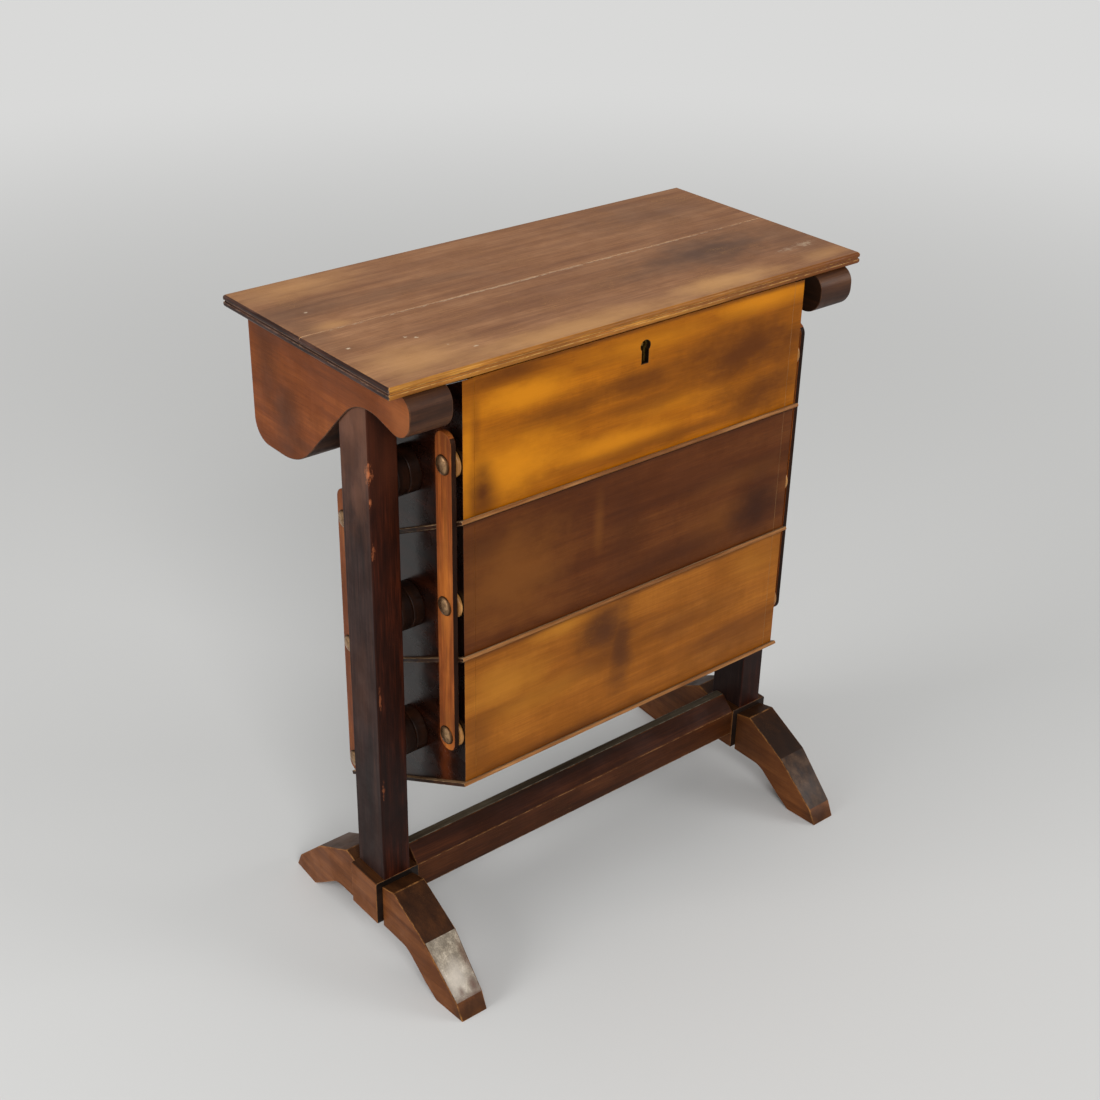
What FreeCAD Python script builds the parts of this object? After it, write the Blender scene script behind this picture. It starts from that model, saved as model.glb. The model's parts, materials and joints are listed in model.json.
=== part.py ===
import FreeCAD, Part
import os
import re
import Sketcher

# A table-top spool cabinet: two posts on bracket feet carry a moulded top, and three tilting
# trays hang between the posts. Each tray turns on a pair of pivot screws at the posts, and
# four slat links join the trays, so that they tip forward together.
#
# Lengths are in millimetres and angles in degrees. Every piece is drawn from the axis of the
# posts (y = 0) and the floor (z = 0), or for the trays from their pivot, and its Placement
# then carries it to the cabinet's frame: x to the right, -y to the front, z up, with the
# origin under the middle of the overall box.

SIZES = {
    # moulded top, two boards glued edge to edge
    "total_height": 520.0,
    "top_overhang": 12.7,       # top beyond the brackets' outer faces
    "top_tail": 11.5,           # top beyond the brackets' backs
    "top_front": 68.5,          # from the post axis to the front edge
    "top_back": 145.5,          # from the post axis to the back edge
    "top_thick": 9.5,
    "seam_back": 40.5,          # glue line behind the post axis
    "bead_groove": 0.9,         # radius of the groove between the edge's two beads
    "edge_round": 2.2,
    # posts
    "end_room": 20.5,           # between each post and the trays' ends
    "post_wide": 25.0,
    "post_deep": 36.0,
    "post_round": 1.2,
    "tenon_wide": 15.0,
    "tenon_deep": 24.0,
    "head_tenon": 17.0,
    "foot_tenon": 18.0,
    "tenon_gap": 1.0,           # air at the bottom of each mortise
    # brackets under the top
    "bracket_thick": 35.0,
    "bracket_proud": 1.8,       # outer face beyond the post's outer face
    "nose_proud": 5.0,          # front nose ahead of the top's front edge
    "back_lobe_drop": 104.5,    # underside of the back lobe below the top
    "back_lobe_start": 72.0,    # where the lobe's underside would meet the arch unrounded
    "back_lobe_round": 18.0,
    "lobe_heel_round": 55.0,
    "arch_ahead": 11.5,         # peak of the unrounded arch ahead of the post axis
    "arch_drop": 20.2,
    "arch_round": 44.0,
    "nose_drop": 38.1,          # lowest point of the unrounded front nose
    "nose_round": 16.5,
    "nose_top_round": 12.0,
    "seat_drop": 20.5,          # shoulder of the post below the top's underside
    # feet
    "block_wide": 41.0,
    "block_low": 32.5,
    "block_top": 73.0,
    "block_round": 1.5,
    "foot_wide": 30.0,
    "toe_wide": 24.0,
    "foot_reach": 121.0,        # from the post axis to the toe
    "foot_high": 68.0,          # top of the foot beside the block
    "knee_reach": 34.0,
    "knee_high": 72.0,
    "shin_reach": 76.0,
    "shin_high": 49.5,
    "toe_back": 7.0,            # top of the toe behind its tip
    "toe_high": 14.0,
    "heel_reach": 89.0,         # start of the toe's flat sole
    "arch_reach": 51.0,
    "foot_arch": 28.0,          # underside of the foot beside the block
    "foot_arch_round": 22.0,
    "dowel_radius": 4.0,
    "dowel_long": 30.0,
    "dowel_spread": 7.0,
    "dowel_high": 47.0,
    # stretcher between the feet
    "bar_deep": 34.0,
    "bar_low": 38.0,
    "bar_top": 85.0,
    "bar_top_chamfer": 13.0,
    "bar_low_chamfer": 10.0,
    "bar_tenon": 8.0,
    "bar_tenon_deep": 16.0,
    "bar_tenon_low": 46.0,
    "bar_tenon_high": 64.0,
    # tilting trays
    "tilt_angle": 27.1,         # slope of the closed trays, down to the back
    "pitch": 112.8,             # from one tray's pivot to the next
    "pivot_drop": 91.3,         # upper pivot below the top's underside
    "pivot_rise": 49.1,         # pivot above the tray floor, measured upright
    "top_gap": 1.0,             # upper tray below the top's underside
    "tray_gap": 0.8,            # lower trays below the floor of the tray above, measured upright
    "tray_length": 330.0,
    "panel_front": 66.6,        # front face of the trays ahead of the post axis
    "tray_back": 90.0,
    "end_thick": 10.0,
    "panel_thick": 8.0,
    "back_thick": 6.0,
    "floor_thick": 3.0,
    "floor_nose": 2.2,          # floor board beyond the front panel
    "floor_end": 3.0,           # floor board beyond each end
    "floor_tail": 2.0,          # floor board beyond the back panel
    "floor_round": 1.2,
    # pivots at the posts
    "disc_radius": 18.0,
    "disc_round": 1.0,
    "play": 0.3,                # between faces that slide past each other
    "running": 0.08,            # radial clearance of a screw that turns in its hole
    "pivot_radius": 3.0,
    "pivot_bite": 18.0,         # length of the pivot screw in the post
    "pivot_head_radius": 6.5,
    "pivot_head_high": 3.0,
    "pivot_head_dome": 2.4,
    # slat links
    "front_pin_ahead": 55.0,
    "front_pin_rise": 26.0,
    "back_pin_behind": 76.0,
    "back_pin_drop": 71.5,
    "link_wide": 19.0,
    "link_thick": 4.4,
    "link_over": 25.0,          # link above its upper pin
    "link_under": 13.0,         # link below its lower pin
    "link_edge": 0.6,
    "washer_radius": 11.0,
    "washer_thick": 3.7,
    "pin_radius": 2.5,
    "pin_bite": 7.5,
    "pin_head_radius": 7.6,
    "pin_head_high": 2.6,
    "pin_head_dome": 2.3,
    # lock in the upper tray's front panel, and the strike plate above it
    "keyhole_drop": 15.2,       # centre of the keyhole's round below the panel's top
    "keyhole_radius": 4.6,
    "keyhole_slot": 6.4,
    "keyhole_long": 13.6,       # from the centre of the round to the slot's foot
    "lock_wide": 34.0,
    "lock_high": 32.0,
    "lock_deep": 8.6,
    "lock_let": 4.0,            # depth of the lock in the panel
    "lock_wall": 1.5,
    "ward_radius": 3.2,
    "ward_slot": 3.0,
    "ward_pin_radius": 1.2,
    "bolt_wide": 14.0,
    "bolt_high": 10.8,
    "bolt_low_gap": 0.5,        # top of the drawn-back bolt below the lock's top
    "bolt_throw": 7.0,
    "lock_screw_spread": 13.0,
    "lock_screw_high": 6.0,
    "lock_screw_radius": 1.2,
    "lock_screw_head": 2.6,
    "lock_screw_head_high": 1.4,
    "lock_screw_bite": 2.5,     # length of the lock screws in the panel
    "strike_wide": 40.0,
    "strike_deep": 13.0,
    "strike_thick": 1.2,
    "strike_screw_spread": 15.5,
    "strike_screw_radius": 1.1,
    "strike_screw_head": 2.6,
    "strike_screw_long": 6.0,
}

# Lengths that follow from the sizes, written once and used by name.
FORMULAS = {
    "slope": "tan(tilt_angle * 1 deg)",
    "post_y": "(foot_reach - top_back) / 2",
    "underside": "total_height - top_thick",
    "seat": "underside - seat_drop",
    "tray_half": "tray_length / 2",
    "post_inner": "tray_half + end_room",
    "post_spread": "post_inner + post_wide / 2",
    "post_outer": "post_inner + post_wide",
    "bracket_outer": "post_outer + bracket_proud",
    "bracket_inner": "bracket_outer - bracket_thick",
    "bracket_back": "top_back - top_tail",
    "bracket_front": "top_front + nose_proud",
    "top_half": "bracket_outer + top_overhang",
    "block_inner": "post_spread - block_wide / 2",
    "upper_pivot": "underside - pivot_drop",
    "panel_half": "tray_half - end_thick",
    "front_low": "slope * panel_front - pivot_rise",
    "front_high": "pivot_drop - top_gap",
    "nested_high": "pitch + front_low - floor_thick / cos(tilt_angle * 1 deg) - tray_gap",
    "floor_lean": "floor_thick * sin(tilt_angle * 1 deg)",
    "floor_drop": "floor_thick * cos(tilt_angle * 1 deg)",
    "disc_thick": "(post_inner - tray_half - play) / 2",
    "washer_face": "tray_half + washer_thick",
    "link_inner": "washer_face + play",
    "link_outer": "link_inner + link_thick",
    "keyhole_z": "front_high - keyhole_drop",
    "lock_front": "panel_thick - panel_front - lock_let",
    "lock_back": "lock_front + lock_deep",
    "lock_low": "front_high - lock_high",
    "bolt_front": "lock_front + lock_wall + play",
    "bolt_back": "lock_back - lock_wall - play",
    "bolt_top": "front_high - bolt_low_gap",
    "bolt_low": "bolt_top - bolt_high",
    "strike_front": "(lock_front + lock_back - strike_deep) / 2",
    "strike_back": "strike_front + strike_deep",
}

SIDES = {"left": -1, "right": 1}
LEVELS = {"upper": 0, "middle": 1, "lower": 2}
PANEL_TOPS = {"upper": "front_high", "middle": "nested_high", "lower": "nested_high"}
LINKS = {"front": ("-front_pin_ahead", "front_pin_rise"), "back": ("back_pin_behind", "-back_pin_drop")}

doc = FreeCAD.newDocument("spool_cabinet")
sheet = doc.addObject("Spreadsheet::Sheet", "Sizes")
for row, (alias, size) in enumerate(SIZES.items(), 1):
    sheet.set(f"A{row}", alias)
    sheet.set(f"B{row}", str(size))
    sheet.setAlias(f"B{row}", alias)
doc.recompute()


# ------------------------------------------------------------------ drawing tools
def bound(formula):
    """Write a formula of size names as an expression that reads the Sizes sheet."""
    def cell(match):
        name = match[0]
        if name in FORMULAS:
            return f"({bound(FORMULAS[name])})"
        return f"Sizes.{name}" if name in SIZES else name
    return re.sub(r"[A-Za-z_]\w*", cell, formula)


def number(formula):
    """The present value of a formula of size names."""
    return float(sheet.evalExpression(bound(formula)))


def new_body(label, height="0"):
    """A body whose drawing datum is the post axis at the given height above the floor."""
    body = doc.addObject("PartDesign::Body", label)
    body.Label = label
    body.AllowCompound = True
    body.setExpression("Placement.Base.y", bound("post_y"))
    body.setExpression("Placement.Base.z", bound(height))
    return body


def new_sketch(body, role, start="0"):
    """A sketch on one of the body's origin planes, moved along the plane's normal."""
    sketch = body.newObject("Sketcher::SketchObject", f"{body.Name}_outline")
    plane = next(item for item in body.Origin.OriginFeatures if item.Role == role)
    sketch.AttachmentSupport = (plane, [""])
    sketch.MapMode = "FlatFace"
    sketch.setExpression("AttachmentOffset.Base.z", bound(start))
    return sketch


def hold(sketch, kind, *where, formula):
    """Add one dimension to a sketch and bind it to its formula."""
    index = sketch.addConstraint(Sketcher.Constraint(kind, *where, number(formula)))
    sketch.setExpression(f"Constraints[{index}]", bound(formula))


def polygon(sketch, corners):
    """Draw a closed outline whose corners are pairs of formulas."""
    first = sketch.GeometryCount
    count = len(corners)
    spots = [FreeCAD.Vector(number(across), number(up), 0) for across, up in corners]
    for index in range(count):
        sketch.addGeometry(Part.LineSegment(spots[index], spots[(index + 1) % count]))
    for index, (across, up) in enumerate(corners):
        line = first + index
        before = first + (index - 1) % count
        sketch.addConstraint(Sketcher.Constraint("Coincident", before, 2, line, 1))
        hold(sketch, "DistanceX", line, 1, formula=across)
        hold(sketch, "DistanceY", line, 1, formula=up)


def rectangle(sketch, low_across, high_across, low_up, high_up):
    """Draw a rectangle between two pairs of formulas."""
    polygon(sketch, [(low_across, low_up), (high_across, low_up),
                     (high_across, high_up), (low_across, high_up)])


def circle(sketch, across, up, radius):
    """Draw a circle about a centre given by two formulas."""
    centre = FreeCAD.Vector(number(across), number(up), 0)
    index = sketch.addGeometry(Part.Circle(centre, FreeCAD.Vector(0, 0, 1), number(radius)))
    hold(sketch, "DistanceX", index, 3, formula=across)
    hold(sketch, "DistanceY", index, 3, formula=up)
    hold(sketch, "Radius", index, formula=radius)


def grow(body, sketch, length):
    """Pad a sketch along its plane's normal."""
    pad = body.newObject("PartDesign::Pad", f"{body.Name}_pad")
    pad.Profile = sketch
    pad.setExpression("Length", bound(length))
    doc.recompute()
    return pad


def cut(body, sketch, length):
    """Pocket a sketch along its plane's normal, and check that it removed something."""
    before = body.Shape.Volume
    pocket = body.newObject("PartDesign::Pocket", f"{body.Name}_pocket")
    pocket.Profile = sketch
    pocket.Reversed = True
    pocket.setExpression("Length", bound(length))
    doc.recompute()
    if before - body.Shape.Volume < 1e-3:
        raise RuntimeError(f"{body.Label}: a pocket removed nothing")
    return pocket


def straight(edge, axis):
    """Whether an edge runs along an axis, given as 0, 1 or 2 for x, y or z."""
    run = edge.Vertexes[-1].Point - edge.Vertexes[0].Point
    return run.Length > 0 and abs(abs(run[axis]) - run.Length) < 1e-6


def near(spot, axis, formula):
    """Whether a point lies at a formula's value along an axis."""
    return abs(spot[axis] - number(formula)) < 1e-4


def rim(edge, radius):
    """Whether an edge is a circle of a formula's radius."""
    return isinstance(edge.Curve, Part.Circle) and abs(edge.Curve.Radius - number(radius)) < 1e-6


def near_side(edge, distance):
    """Whether an edge lies at a formula's distance from the middle plane, on either side."""
    return abs(abs(edge.CenterOfMass.x) - number(distance)) < 1e-4


def soften(body, wanted, radius):
    """Round the edges of the body's last feature that a test picks."""
    base = body.Tip
    edges = [f"Edge{index}" for index, edge in enumerate(base.Shape.Edges, 1) if wanted(edge)]
    if not edges:
        raise RuntimeError(f"{body.Label}: no edge to round")
    fillet = body.newObject("PartDesign::Fillet", f"{body.Name}_fillet")
    fillet.Base = (base, edges)
    fillet.setExpression("Radius", bound(radius))
    doc.recompute()


def round_corner(body, across, up, radius):
    """Round the edge along x that stands at one corner of a side outline."""
    soften(body, lambda edge: straight(edge, 0) and near(edge.CenterOfMass, 1, across)
           and near(edge.CenterOfMass, 2, up), radius)


def mirror(body, features):
    """Repeat features on the other side of the cabinet's middle plane."""
    copy = body.newObject("PartDesign::Mirrored", f"{body.Name}_mirror")
    copy.Originals = features
    copy.MirrorPlane = (next(item for item in body.Origin.OriginFeatures if item.Role == "YZ_Plane"), [""])
    body.Tip = copy
    doc.recompute()


def repeat_down(body, features):
    """Repeat features at the middle and lower trays' pivots."""
    copy = body.newObject("PartDesign::LinearPattern", f"{body.Name}_pattern")
    copy.Originals = features
    copy.Direction = (next(item for item in body.Origin.OriginFeatures if item.Role == "Z_Axis"), [""])
    copy.Reversed = True
    copy.setExpression("Length", bound("2 * pitch"))
    copy.Occurrences = len(LEVELS)
    body.Tip = copy
    doc.recompute()


def span(side, inner, outer):
    """Where a piece between two distances from the middle plane starts, and how long it is."""
    start = inner if side > 0 else f"-({outer})"
    return start, f"({outer}) - ({inner})"


def post_frame(side, wide):
    """The low and high x of a piece of the given width that is centred on a post."""
    return f"{side} * post_spread - {wide} / 2", f"{side} * post_spread + {wide} / 2"


# ------------------------------------------------------------------ moulded top
def top_board(label, front, back, outer_edge):
    """One board of the top, whose ends and outer edge have two beads with a groove between."""
    body = new_body(label)
    outline = new_sketch(body, "XY_Plane", "underside")
    rectangle(outline, "-top_half", "top_half", front, back)
    grow(body, outline, "top_thick")
    soften(body, lambda edge: not straight(edge, 2) and (
        near(edge.CenterOfMass, 1, outer_edge) or near_side(edge, "top_half")), "edge_round")
    mid_edge = "total_height - top_thick / 2"
    long_groove = new_sketch(body, "YZ_Plane", "-top_half")
    circle(long_groove, outer_edge, mid_edge, "bead_groove")
    cut(body, long_groove, "2 * top_half")
    end_grooves = new_sketch(body, "XZ_Plane", f"-({back})")
    for side in SIDES.values():
        circle(end_grooves, f"{side} * top_half", mid_edge, "bead_groove")
    cut(body, end_grooves, f"({back}) - ({front})")
    return body


def bolt_room(sketch):
    """The outline, seen from above, that leaves the lock's bolt room to slide."""
    rectangle(sketch, "-bolt_wide / 2 - play", "bolt_wide / 2 + play",
              "bolt_front - play", "bolt_back + play")


def strike_screw_circles(sketch, radius):
    """The circles of the strike plate's two screws, seen from above."""
    for side in SIDES.values():
        circle(sketch, f"{side} * strike_screw_spread", "(strike_front + strike_back) / 2", radius)


def make_top():
    """The two boards of the top; the front one is let in for the strike plate and the bolt."""
    front = top_board("top_front_board", "-top_front", "seam_back", "-top_front")
    plate_bed = new_sketch(front, "XY_Plane", "underside")
    rectangle(plate_bed, "-strike_wide / 2", "strike_wide / 2", "strike_front", "strike_back")
    cut(front, plate_bed, "strike_thick")
    bolt_hole = new_sketch(front, "XY_Plane", "underside")
    bolt_room(bolt_hole)
    cut(front, bolt_hole, "bolt_throw")
    screw_holes = new_sketch(front, "XY_Plane", "underside")
    strike_screw_circles(screw_holes, "strike_screw_radius")
    cut(front, screw_holes, "strike_screw_long")
    top_board("top_rear_board", "seam_back", "top_back", "top_back")


def make_strike():
    """The strike plate in the underside of the top, and its two screws."""
    plate = new_body("strike_plate")
    outline = new_sketch(plate, "XY_Plane", "underside")
    rectangle(outline, "-strike_wide / 2", "strike_wide / 2", "strike_front", "strike_back")
    bolt_room(outline)
    strike_screw_circles(outline, "strike_screw_head")
    grow(plate, outline, "strike_thick")

    screws = new_body("strike_screws")
    heads = new_sketch(screws, "XY_Plane", "underside")
    strike_screw_circles(heads, "strike_screw_head")
    grow(screws, heads, "strike_thick")
    shanks = new_sketch(screws, "XY_Plane", "underside")
    strike_screw_circles(shanks, "strike_screw_radius")
    grow(screws, shanks, "strike_screw_long")


# ------------------------------------------------------------------ stand
def make_bracket(name, side):
    """A lobed bracket that seats on the post's shoulder and carries the top."""
    body = new_body(f"bracket_{name}")
    start, thick = span(side, "bracket_inner", "bracket_outer")
    corners = [("bracket_back", "underside - back_lobe_drop", "back_lobe_round"),
               ("back_lobe_start", "underside - back_lobe_drop", "lobe_heel_round"),
               ("-arch_ahead", "underside - arch_drop", "arch_round"),
               ("-bracket_front", "underside - nose_drop", "nose_round"),
               ("-bracket_front", "underside", "nose_top_round")]
    outline = new_sketch(body, "YZ_Plane", start)
    polygon(outline, [("bracket_back", "underside"), *((across, up) for across, up, _ in corners)])
    grow(body, outline, thick)
    for across, up, radius in corners:
        round_corner(body, across, up, radius)
    seat = new_sketch(body, "XY_Plane", "underside - back_lobe_drop - 1")
    rectangle(seat, *post_frame(side, "post_wide"), "-post_deep / 2", "post_deep / 2")
    cut(body, seat, "back_lobe_drop + 1 - seat_drop")
    mortise = new_sketch(body, "XY_Plane", "seat")
    rectangle(mortise, *post_frame(side, "tenon_wide"), "-tenon_deep / 2", "tenon_deep / 2")
    cut(body, mortise, "head_tenon")


def make_post(name, side):
    """A square post with a tenon at each end and three blind holes for the pivot screws."""
    body = new_body(f"post_{name}")
    shaft = new_sketch(body, "XY_Plane", "block_top")
    rectangle(shaft, *post_frame(side, "post_wide"), "-post_deep / 2", "post_deep / 2")
    grow(body, shaft, "seat - block_top")
    soften(body, lambda edge: straight(edge, 2), "post_round")
    for low, long in (("seat", "head_tenon - tenon_gap"),
                      ("block_top - foot_tenon + tenon_gap", "foot_tenon - tenon_gap")):
        tenon = new_sketch(body, "XY_Plane", low)
        rectangle(tenon, *post_frame(side, "tenon_wide"), "-tenon_deep / 2", "tenon_deep / 2")
        grow(body, tenon, long)
    start, bite = span(side, "post_inner", "post_inner + pivot_bite")
    holes = new_sketch(body, "YZ_Plane", start)
    for level in LEVELS.values():
        circle(holes, "0", f"upper_pivot - {level} * pitch", "pivot_radius")
    cut(body, holes, bite)


def dowel_holes(body, side, front, back):
    """Bore the holes for the dowels that hold the feet to their block."""
    holes = new_sketch(body, "XZ_Plane", f"-({back})")
    for dowel in SIDES.values():
        circle(holes, f"{side} * post_spread + {dowel} * dowel_spread", "dowel_high", "dowel_radius")
    cut(body, holes, f"({back}) - ({front})")


def make_foot_block(name, side):
    """The block between a post and its two feet, mortised for the post and the stretcher."""
    body = new_body(f"foot_block_{name}")
    outline = new_sketch(body, "XY_Plane", "block_low")
    rectangle(outline, *post_frame(side, "block_wide"), "-post_deep / 2", "post_deep / 2")
    grow(body, outline, "block_top - block_low")
    soften(body, lambda edge: straight(edge, 1) and near(edge.CenterOfMass, 2, "block_top"), "block_round")
    mortise = new_sketch(body, "XY_Plane", "block_top - foot_tenon")
    rectangle(mortise, *post_frame(side, "tenon_wide"), "-tenon_deep / 2", "tenon_deep / 2")
    cut(body, mortise, "foot_tenon")
    start, long = span(side, "block_inner", "block_inner + bar_tenon")
    bar_mortise = new_sketch(body, "YZ_Plane", start)
    rectangle(bar_mortise, "-bar_tenon_deep / 2", "bar_tenon_deep / 2", "bar_tenon_low", "bar_tenon_high")
    cut(body, bar_mortise, long)
    dowel_holes(body, side, "-post_deep / 2", "-post_deep / 2 + dowel_long / 2")
    dowel_holes(body, side, "post_deep / 2 - dowel_long / 2", "post_deep / 2")


def make_foot(name, side, place, facing):
    """One bracket foot: facing is -1 for the front foot and 1 for the back one."""
    body = new_body(f"foot_{place}_{name}")
    face = "post_deep / 2"
    profile = [
        (face, "foot_arch"), ("arch_reach", "foot_arch"), ("heel_reach", "0"), ("foot_reach", "0"),
        ("foot_reach - toe_back", "toe_high"), ("shin_reach", "shin_high"),
        ("knee_reach", "knee_high"), (face, "foot_high")]
    low, high = post_frame(side, "foot_wide")
    outline = new_sketch(body, "YZ_Plane", low)
    polygon(outline, [(f"{facing} * ({reach})", high) for reach, high in profile])
    grow(body, outline, "foot_wide")
    round_corner(body, f"{facing} * arch_reach", "foot_arch", "foot_arch_round")
    taper = new_sketch(body, "XY_Plane")
    toe_low, toe_high = post_frame(side, "toe_wide")
    for edge, toe_edge in ((low, toe_low), (high, toe_high)):
        polygon(taper, [(edge, f"{facing} * shin_reach"), (edge, f"{facing} * (foot_reach + 1)"),
                        (toe_edge, f"{facing} * (foot_reach + 1)")])
    cut(body, taper, "knee_high")
    if facing < 0:
        dowel_holes(body, side, f"-{face} - dowel_long / 2", f"-{face}")
    else:
        dowel_holes(body, side, face, f"{face} + dowel_long / 2")


def make_foot_dowels(name, side):
    """The four dowels between one block and its feet."""
    body = new_body(f"foot_dowels_{name}")
    for middle in ("-post_deep / 2", "post_deep / 2"):
        outline = new_sketch(body, "XZ_Plane", f"-({middle} + dowel_long / 2) + tenon_gap")
        for dowel in SIDES.values():
            circle(outline, f"{side} * post_spread + {dowel} * dowel_spread", "dowel_high", "dowel_radius")
        grow(body, outline, "dowel_long - 2 * tenon_gap")


def make_stretcher():
    """The chamfered bar between the foot blocks, with a tenon at each end."""
    body = new_body("stretcher")
    back = [("bar_deep / 2 - bar_low_chamfer", "bar_low"), ("bar_deep / 2", "bar_low + bar_low_chamfer"),
            ("bar_deep / 2", "bar_top - bar_top_chamfer"), ("bar_deep / 2 - bar_top_chamfer", "bar_top")]
    front = [(f"-({across})", up) for across, up in reversed(back)]
    outline = new_sketch(body, "YZ_Plane", "-block_inner")
    polygon(outline, back + front)
    grow(body, outline, "2 * block_inner")
    tenon = new_sketch(body, "YZ_Plane", "-block_inner - bar_tenon + tenon_gap")
    rectangle(tenon, "-bar_tenon_deep / 2", "bar_tenon_deep / 2", "bar_tenon_low", "bar_tenon_high")
    grow(body, tenon, "2 * (block_inner + bar_tenon - tenon_gap)")


# ------------------------------------------------------------------ pivots at the posts
def make_post_pivots(name, side):
    """The three wooden discs on a post, and the screws through them that the trays turn on."""
    discs = new_body(f"post_discs_{name}", "upper_pivot")
    start, thick = span(side, "post_inner - disc_thick", "post_inner")
    outline = new_sketch(discs, "YZ_Plane", start)
    circle(outline, "0", "0", "disc_radius")
    circle(outline, "0", "0", "pivot_radius")
    disc = grow(discs, outline, thick)
    repeat_down(discs, [disc])
    soften(discs, lambda edge: rim(edge, "disc_radius"), "disc_round")

    screws = new_body(f"pivot_screws_{name}", "upper_pivot")
    head_face = "panel_half - play"
    start, long = span(side, head_face, "post_inner + pivot_bite - tenon_gap")
    outline = new_sketch(screws, "YZ_Plane", start)
    circle(outline, "0", "0", "pivot_radius")
    shank = grow(screws, outline, long)
    start, long = span(side, f"{head_face} - pivot_head_high", head_face)
    outline = new_sketch(screws, "YZ_Plane", start)
    circle(outline, "0", "0", "pivot_head_radius")
    head = grow(screws, outline, long)
    repeat_down(screws, [shank, head])
    soften(screws, lambda edge: near_side(edge, f"{head_face} - pivot_head_high"), "pivot_head_dome")


# ------------------------------------------------------------------ tilting trays
def tray_ends(level):
    """The two end boards of a tray, holed for the pivot screw and the link pins."""
    for name, side in SIDES.items():
        body = new_body(f"{level}_tray_end_{name}", f"upper_pivot - {LEVELS[level]} * pitch")
        start, thick = span(side, "panel_half", "tray_half")
        outline = new_sketch(body, "YZ_Plane", start)
        fall = "slope * (panel_front + tray_back)"
        high = PANEL_TOPS[level]
        polygon(outline, [("-panel_front", "front_low"), ("tray_back", f"front_low - {fall}"),
                          ("tray_back", f"{high} - {fall}"), ("-panel_front", high)])
        grow(body, outline, thick)
        pivot = new_sketch(body, "YZ_Plane", start)
        circle(pivot, "0", "0", "pivot_radius + running")
        cut(body, pivot, thick)
        start, bite = span(side, "tray_half - pin_bite", "tray_half")
        pins = new_sketch(body, "YZ_Plane", start)
        for ahead, up in LINKS.values():
            circle(pins, ahead, up, "pin_radius")
        cut(body, pins, bite)


def tray_front(level):
    """The front panel; the upper one stands square under the top and holds the lock."""
    body = new_body(f"{level}_tray_front", f"upper_pivot - {LEVELS[level]} * pitch")
    outline = new_sketch(body, "YZ_Plane", "-panel_half")
    bevel = "0" if level == "upper" else "slope * panel_thick"
    inside = "panel_thick - panel_front"
    polygon(outline, [("-panel_front", "front_low"), (inside, "front_low - slope * panel_thick"),
                      (inside, f"{PANEL_TOPS[level]} - {bevel}"), ("-panel_front", PANEL_TOPS[level])])
    grow(body, outline, "2 * panel_half")
    if level != "upper":
        return
    bed = new_sketch(body, "XZ_Plane", "-lock_front - lock_let")
    rectangle(bed, "-lock_wide / 2", "lock_wide / 2", "lock_low", "front_high")
    cut(body, bed, "lock_let")
    keyhole = new_sketch(body, "XZ_Plane", "-lock_front")
    keyhole_outline(keyhole, "keyhole_radius", "keyhole_slot / 2", "keyhole_long")
    cut(body, keyhole, "panel_front")
    screw_holes = new_sketch(body, "XZ_Plane", "-lock_front")
    lock_screw_circles(screw_holes, "lock_screw_radius")
    cut(body, screw_holes, "lock_screw_bite")


def tray_back_panel(level):
    """The back panel, between the ends."""
    body = new_body(f"{level}_tray_back", f"upper_pivot - {LEVELS[level]} * pitch")
    inside, high = "tray_back - back_thick", PANEL_TOPS[level]
    corners = [(inside, "front_low"), ("tray_back", "front_low"), ("tray_back", high), (inside, high)]
    outline = new_sketch(body, "YZ_Plane", "-panel_half")
    polygon(outline, [(across, f"{edge} - slope * (panel_front + {across})") for across, edge in corners])
    grow(body, outline, "2 * panel_half")


def tray_floor(level):
    """The thin sloping floor board, with a rounded nose beyond the front and the ends."""
    body = new_body(f"{level}_tray_floor", f"upper_pivot - {LEVELS[level]} * pitch")
    front, back = "-(panel_front + floor_nose)", "tray_back + floor_tail"
    top = [(across, f"-pivot_rise - slope * ({across})") for across in (front, back)]
    low = [(f"{across} - floor_lean", f"{up} - floor_drop") for across, up in reversed(top)]
    outline = new_sketch(body, "YZ_Plane", "-tray_half - floor_end")
    polygon(outline, top + low)
    grow(body, outline, "tray_length + 2 * floor_end")
    ahead = number(f"{front} + 1")
    soften(body, lambda edge: straight(edge, 0) and edge.CenterOfMass.y < ahead, "floor_round")


def tray_discs(level):
    """The wooden discs on a tray's ends, which face those on the posts."""
    body = new_body(f"{level}_tray_discs", f"upper_pivot - {LEVELS[level]} * pitch")
    outline = new_sketch(body, "YZ_Plane", "tray_half")
    circle(outline, "0", "0", "disc_radius")
    circle(outline, "0", "0", "pivot_radius + running")
    mirror(body, [grow(body, outline, "disc_thick")])
    soften(body, lambda edge: rim(edge, "disc_radius"), "disc_round")


def link_pieces(level):
    """The washers between a tray and its four links, and the round-headed pins through them."""
    washers = new_body(f"{level}_tray_washers", f"upper_pivot - {LEVELS[level]} * pitch")
    outline = new_sketch(washers, "YZ_Plane", "tray_half")
    for ahead, up in LINKS.values():
        circle(outline, ahead, up, "washer_radius")
        circle(outline, ahead, up, "pin_radius")
    mirror(washers, [grow(washers, outline, "washer_thick")])

    pins = new_body(f"{level}_tray_link_pins", f"upper_pivot - {LEVELS[level]} * pitch")
    head_face = "link_outer + play"
    shanks = new_sketch(pins, "YZ_Plane", "tray_half - pin_bite")
    heads = new_sketch(pins, "YZ_Plane", head_face)
    for ahead, up in LINKS.values():
        circle(shanks, ahead, up, "pin_radius")
        circle(heads, ahead, up, "pin_head_radius")
    shank_pad = grow(pins, shanks, f"{head_face} - tray_half + pin_bite")
    head_pad = grow(pins, heads, "pin_head_high")
    mirror(pins, [shank_pad, head_pad])
    soften(pins, lambda edge: near_side(edge, f"{head_face} + pin_head_high"), "pin_head_dome")


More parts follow.
